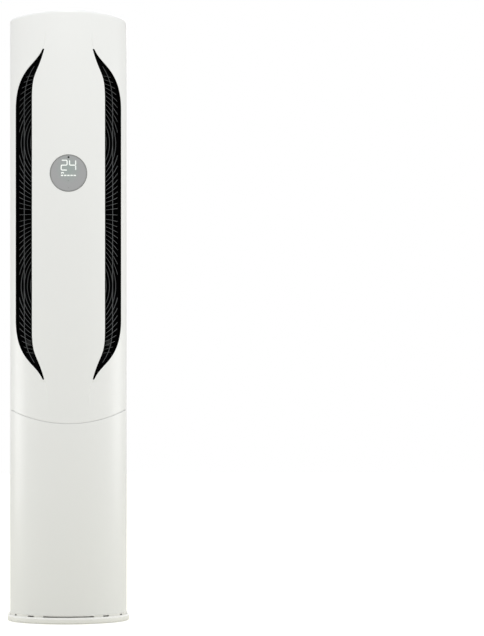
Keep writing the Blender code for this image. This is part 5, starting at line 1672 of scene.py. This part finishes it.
def tubeParts(path, radius, segments):
    # a round tube along a path of points, with flat ends
    points = [Vector(p) for p in path]
    sections = []
    normal = None
    for k, here in enumerate(points):
        run = (points[min(k + 1, len(points) - 1)] - points[max(k - 1, 0)]).normalized()
        if normal is None:
            normal = run.orthogonal().normalized()
        normal = (normal - run * normal.dot(run)).normalized()
        other = run.cross(normal)
        sections.append([here + (normal * cos(a) + other * sin(a)) * radius for a in aroundTurn(segments)])
    return sweepParts(sections)


def buildCoil():
    front, rear, low, high = coil["front"], coil["rear"], coil["low"], coil["high"]
    half, tube, bend, sheet = coil["half"], coil["tube"], coil["bendRadius"], coil["sheet"]
    middle = (front + rear) / 2
    thin = coil["finThickness"] / 2
    inset = coil["finInset"]
    count = int(2 * half / coil["finPitch"])
    first = -coil["finPitch"] * (count - 1) / 2
    fin = boxParts((first - thin, front + inset, low + inset), (first + thin, rear - inset, high - inset))
    fins = repeated("coilFins", [fin], count, (coil["finPitch"], 0.0, 0.0), material=finAluminium)
    dress(fins, finAluminium, "evaporator_coil")
    levels = [low + (k + 0.5) * coilPitch for k in range(coil["bends"])]
    ends = (-half - 0.001, half + 0.001)
    tubes = [tubeParts([(x, middle, z + rise) for x in ends], tube, 16) for z in levels for rise in (-bend, bend)]
    dress(gather("coilTubes", tubes), copperTube)
    near = half + fit
    for hand, side in hands:
        x0, x1 = sorted((side * near, side * (near + sheet)))
        plate = meshObject(f"tubeSheet_{hand}", *boxParts((x0, front, low), (x1, rear, high)))
        x0, x1 = sorted((side * (near + sheet / 2), side * (near + coil["lipReach"])))
        lips = [boxParts((x0, y0, low), (x1, y1, high))
                for y0, y1 in ((front, front + coil["lip"]), (rear - coil["lip"], rear))]
        joinInto(plate, gather("lips", lips))
        dress(plate, zincSheet, f"tube_sheet_{hand}")
        turns = [pi * i / 16 for i in range(17)]
        loops = [
            tubeParts([(side * (near + sheet / 2 + bend * sin(a)), middle, z + bend * cos(a)) for a in turns], tube, 16)
            for z in levels
        ]
        dress(gather(f"returnBends_{hand}", loops), copperTube)


pipes = {
    "gas": {"radius": 0.00635, "y": 0.0951, "level": 2, "end": 0.270},
    "liquid": {"radius": 0.0032, "y": 0.1121, "level": 1, "end": 0.310},
    "x": 0.157,
    "bend": 0.018,
    "nutGrow": 1.9,
    "nutHeight": 0.020,
}


def buildPipe(name):
    pipe = pipes[name]
    x, bend, y = pipes["x"], pipes["bend"], pipe["y"]
    z = coil["low"] + pipe["level"] * coilPitch
    path = [(coil["half"] + coil["sheet"] + 2 * fit, y, z)]
    for a in [pi / 2 * k / 14 for k in range(15)]:
        path.append((x - bend + bend * sin(a), y, z - bend + bend * cos(a)))
    path.append((x, y, pipe["end"]))
    tube = meshObject(f"{name}Pipe", *tubeParts(path, pipe["radius"], 28))
    dress(tube, copperTube, f"{name}_pipe")
    wide = pipe["radius"] * pipes["nutGrow"]
    tall = pipes["nutHeight"]
    bore = pipe["radius"] + fit
    flat = wide * cos(pi / 6)
    neck = bore + (flat - bore) * 0.55
    sections = []
    for a in aroundTurn(48):
        hexagon = flat / cos((a + pi / 6) % (pi / 3) - pi / 6)
        cone = min(hexagon, wide * 0.93)
        profile = ((bore, 0.0), (cone, 0.0), (hexagon, 0.0012), (hexagon, tall * 0.58), (cone, tall * 0.62),
                   (neck, tall * 0.68), (neck * 0.94, tall), (bore, tall))
        sections.append([(x + r * cos(a), y + r * sin(a), pipe["end"] + h) for r, h in profile])
    dress(sweep(f"{name}FlareNut", sections, loop=True), brassHex, f"{name}_flare_nut", angle=25.0)


buildCoil()
buildPipe("gas")
buildPipe("liquid")
print("coil and pipes ready")


# Service bay

control = {
    "halfWidth": 0.085,
    "low": 0.4417,
    "high": 0.6917,
    "lidFront": -0.1018,
    "lidBack": -0.1003,
    "vents": 9,
    "ventPitch": 0.0062,
    "ventSize": (0.030, 0.0022, 0.001),
    "ventPlaces": (-0.030, 0.030),
    "ventDrop": 0.030,
    "screwInsets": (0.006, 0.007),
    "block": (0.070, 0.018, 0.024),
    "blockFront": -0.100,
    "fence": 0.002,
    "terminals": 5,
}


def buildControlLid():
    half, low, high = control["halfWidth"], control["low"], control["high"]
    front, back = control["lidFront"], control["lidBack"]
    middle = (low + high) / 2
    sections = []
    for grow, y in ((0.0, back), (0.0, front + 0.0003), (-0.0003, front), (-0.010, front), (-0.0112, front + 0.0008)):
        outline = roundedBox(2 * (half + grow), high - low + 2 * grow, 0.002, 4, (0.0, middle))
        sections.append([(x, y, z) for x, z in outline])
    lid = sweep("controlBoxLid", sections)
    vents = []
    for x in control["ventPlaces"]:
        outline = roundedBox(*control["ventSize"], 3, (x, high - control["ventDrop"]))
        vents.append(prismParts("Y", outline, front - 0.001, back + 0.001))
    carve(lid, repeated("vents", vents, control["vents"], (0.0, 0.0, -control["ventPitch"])))
    dress(lid, zincSheet, "control_box_lid")
    aside, inward = control["screwInsets"]
    zs = (low + inward, middle, high - inward)
    screws("lidScrews", [(x, front + 0.0003, z) for x in (-half + aside, half - aside) for z in zs], 0.8, -1.0)


def buildTerminalBlock():
    width, depth, tall = control["block"]
    top = control["low"] - fit
    low = top - tall
    y = control["blockFront"]

    def plate(wide, deep, radius, x, middle, inset=0.0):
        return prismParts("Z", roundedBox(wide, deep, radius, 3, (x, middle)), low + inset, top - inset)

    parts = [plate(width, depth / 2, 0.0008, 0.0, y + depth / 4)]
    thick = control["fence"]
    pitch = (width - thick) / control["terminals"]
    clamps = []
    places = []
    for k in range(control["terminals"] + 1):
        x = k * pitch - width / 2 + thick / 2
        parts.append(plate(thick, depth * 0.75, 0.0006, x, y + depth * 0.625))
        if k < control["terminals"]:
            x += pitch / 2
            clamps.append(plate(pitch - thick - 0.0016, 0.0016, 0.0005, x, y + depth / 2 + 0.0008, 0.003))
            places += [(x, y + depth / 2 + 0.0018, z) for z in (low + 0.007, top - 0.007)]
    dress(gather("terminalBlock", parts), ivoryMoulding, "terminal_block")
    dress(gather("terminalClamps", clamps), brassHex)
    screws("terminalScrews", places, 0.72, 1.0)


grommet = {"lip": 0.004, "wall": 0.002, "skin": 0.0018, "soft": 0.0007}


def buildGrommet(name, node, radius, x, z):
    # a grooved ring pressed into an exit in the flat back
    lip = radius + grommet["lip"]
    neck = radius - fit
    bore = radius - grommet["wall"]
    outer = rearDepth + fit
    inner = rearDepth - wall - fit
    skin = grommet["skin"]
    profile = [
        (bore, outer + skin), (lip, outer + skin), (lip, outer), (neck, outer), (neck, inner), (lip, inner),
        (lip, inner - skin), (bore, inner - skin),
    ]
    ring = lathe(name, "Y", roundOff(profile, grommet["soft"]), 96, (x, 0.0, z))
    dress(ring, blackRubber, node, angle=45.0)


buildControlLid()
buildTerminalBlock()
buildGrommet("pipeGrommet", "pipe_grommet", *exits["pipe"])
buildGrommet("cordGland", "power_cord_gland", *exits["cord"])
print("service bay ready")


# Fans and motors

fans = {
    "heights": {"upper": 1.442, "lower": 1.013},
    "front": 0.0041,
    "depth": 0.073,
    "radius": 0.120,
    "inlet": 0.086,
    "skin": 0.0025,
    "bore": 0.0053,
    "hub": 0.013,
    "hubRise": 0.034,
    "hubBack": 0.022,
    "dish": 0.072,
    "blades": 7,
    "bladeInner": 0.068,
    "bladeThickness": 0.0026,
    "bladeSweep": 46.0,
    "curl": 0.0075,
    "rim": 0.0555,
    "stations": 14,
}
motor = {
    "front": -0.0019,
    "edge": 0.004,
    "length": 0.044,
    "radius": 0.048,
    "band": 0.0472,
    "flange": 0.056,
    "screwCircle": 0.052,
}


def riseAt(points, radius):
    for (r0, y0), (r1, y1) in zip(points, points[1:]):
        if r0 <= radius <= r1:
            return y0 + (y1 - y0) * (radius - r0) / (r1 - r0)
    return points[-1][1]


def buildFan(level, z):
    shape = fans
    skin, depth, size, mouth, curl, rim, bore, hub, rise = (
        shape[key] for key in ("skin", "depth", "radius", "inlet", "curl", "rim", "bore", "hub", "hubRise"))
    plate = [(bore, rise), (hub, rise)]
    for t in [k / 8 for k in range(1, 9)]:
        # the dish sweeps from the hub down to the rim
        plate.append((hub + shape["dish"] * t, rise * (1 - t) ** 1.25 + 0.0035 * t))
    plate.append((size, skin))
    under = [(r, height - skin) for r, height in reversed(plate[3:])]
    profile = plate + under + [(hub, shape["hubBack"]), (bore, shape["hubBack"])]
    shroud = [
        (mouth, depth), (mouth + skin, depth), (mouth + 1.2 * skin, depth - curl * 0.6),
        (mouth + 2 * skin, depth - curl), (size, rim + skin), (size, rim), (mouth + skin, depth - curl - skin),
        (mouth, depth - curl / 2),
    ]
    middle = (0.0, shape["front"], z)
    parts = [latheParts("Y", outline, 72, middle) for outline in (profile, shroud)]
    floor = [(r, height - skin / 2) for r, height in plate]
    inner = shape["bladeInner"]
    roof = [(inner, depth * 0.62), (mouth + skin / 2, depth - curl), (size, rim + skin / 2)]
    sweepTurn = radians(shape["bladeSweep"])
    spin = sweepTurn / (size - inner)
    for start in aroundTurn(shape["blades"]):
        sections = []
        for k in range(shape["stations"] + 1):
            share = k / shape["stations"]
            radius = inner + (size - skin / 4 - inner) * share
            turn = start - sweepTurn * share
            out = Vector((cos(turn), 0.0, sin(turn)))
            around = Vector((-sin(turn), 0.0, cos(turn)))
            run = (out - around * radius * spin).normalized()
            half = shape["bladeThickness"] / 2 * (0.45 + 0.55 * sin(pi * min(1.0, share + 0.15)) ** 0.5)
            aside = Vector((run.z, 0.0, -run.x)) * half
            low = Vector((0.0, riseAt(floor, radius), 0.0))
            high = Vector((0.0, riseAt(roof, radius), 0.0))
            place = out * radius + Vector(middle)
            corners = ((aside, low), (-aside, low), (-aside, high), (aside, high))
            sections.append([place + across + up for across, up in corners])
        parts.append(sweepParts(sections))
    dress(gather(f"turboFan_{level}", parts), fanGrey, f"fan_{level}", body=f"fan_{level}", angle=35.0)


def buildMotor(level, z):
    front, edge, long, wide, band, flange, circleRadius = motor.values()
    foot = front + edge - long
    profile = [
        (0.0053, front), (0.014, front), (0.016, front - 0.0015), (0.044, front - 0.0005), (0.0468, front - 0.0012),
        (wide, front - edge), (wide, front - 0.018), (band, front - 0.0186), (band, front - 0.0206),
        (wide, front - 0.0212), (wide, foot), (flange, foot), (flange, front - long), (0.0053, front - long),
    ]
    body = lathe(f"fanMotor_{level}", "Y", profile, 64, (0.0, 0.0, z))
    dress(body, zincSheet, f"fan_motor_{level}")
    turns = [pi / 4 + pi / 2 * k for k in range(4)]
    places = [(circleRadius * cos(a), foot + 0.0002, z + circleRadius * sin(a)) for a in turns]
    screws(f"motorScrews_{level}", places, 0.8, 1.0)


for level, z in fans["heights"].items():
    buildFan(level, z)
    buildMotor(level, z)
print("fans and motors ready")


# Finishes of the solids that are shown as they are


def coat(material, *names):
    for name in names:
        mesh = nodes[name].data
        mesh.materials.clear()
        mesh.materials.append(material)


for hand, _ in hands:
    coat(blackMoulding, f"vane_{hand}_inner", f"vane_{hand}_outer", f"vane_link_{hand}")
    coat(blackMoulding, f"vane_bearing_lower_{hand}", f"vane_bearing_upper_{hand}")
    coat(darkSheetPaintedShade, f"vane_motor_{hand}")
for level in fans["heights"]:
    coat(turnedSteel, f"fan_shaft_{level}", f"fan_nut_{level}")
coat(blackMoulding, "orifice_plate")
# the bulkhead's near black is painted shade of the dark inside behind the outlets
coat(darkSheetPaintedShade, "motor_bulkhead")
coat(zincSheet, "service_deck", "control_box")
coat(ivoryMoulding, "filter_rail_frame", "drain_spout")
coat(foamWhite, "drain_pan")
coat(boardGreen, "display_board", "control_board")
bpy.data.objects.remove(screw, do_unlink=True)
print("finishes ready")
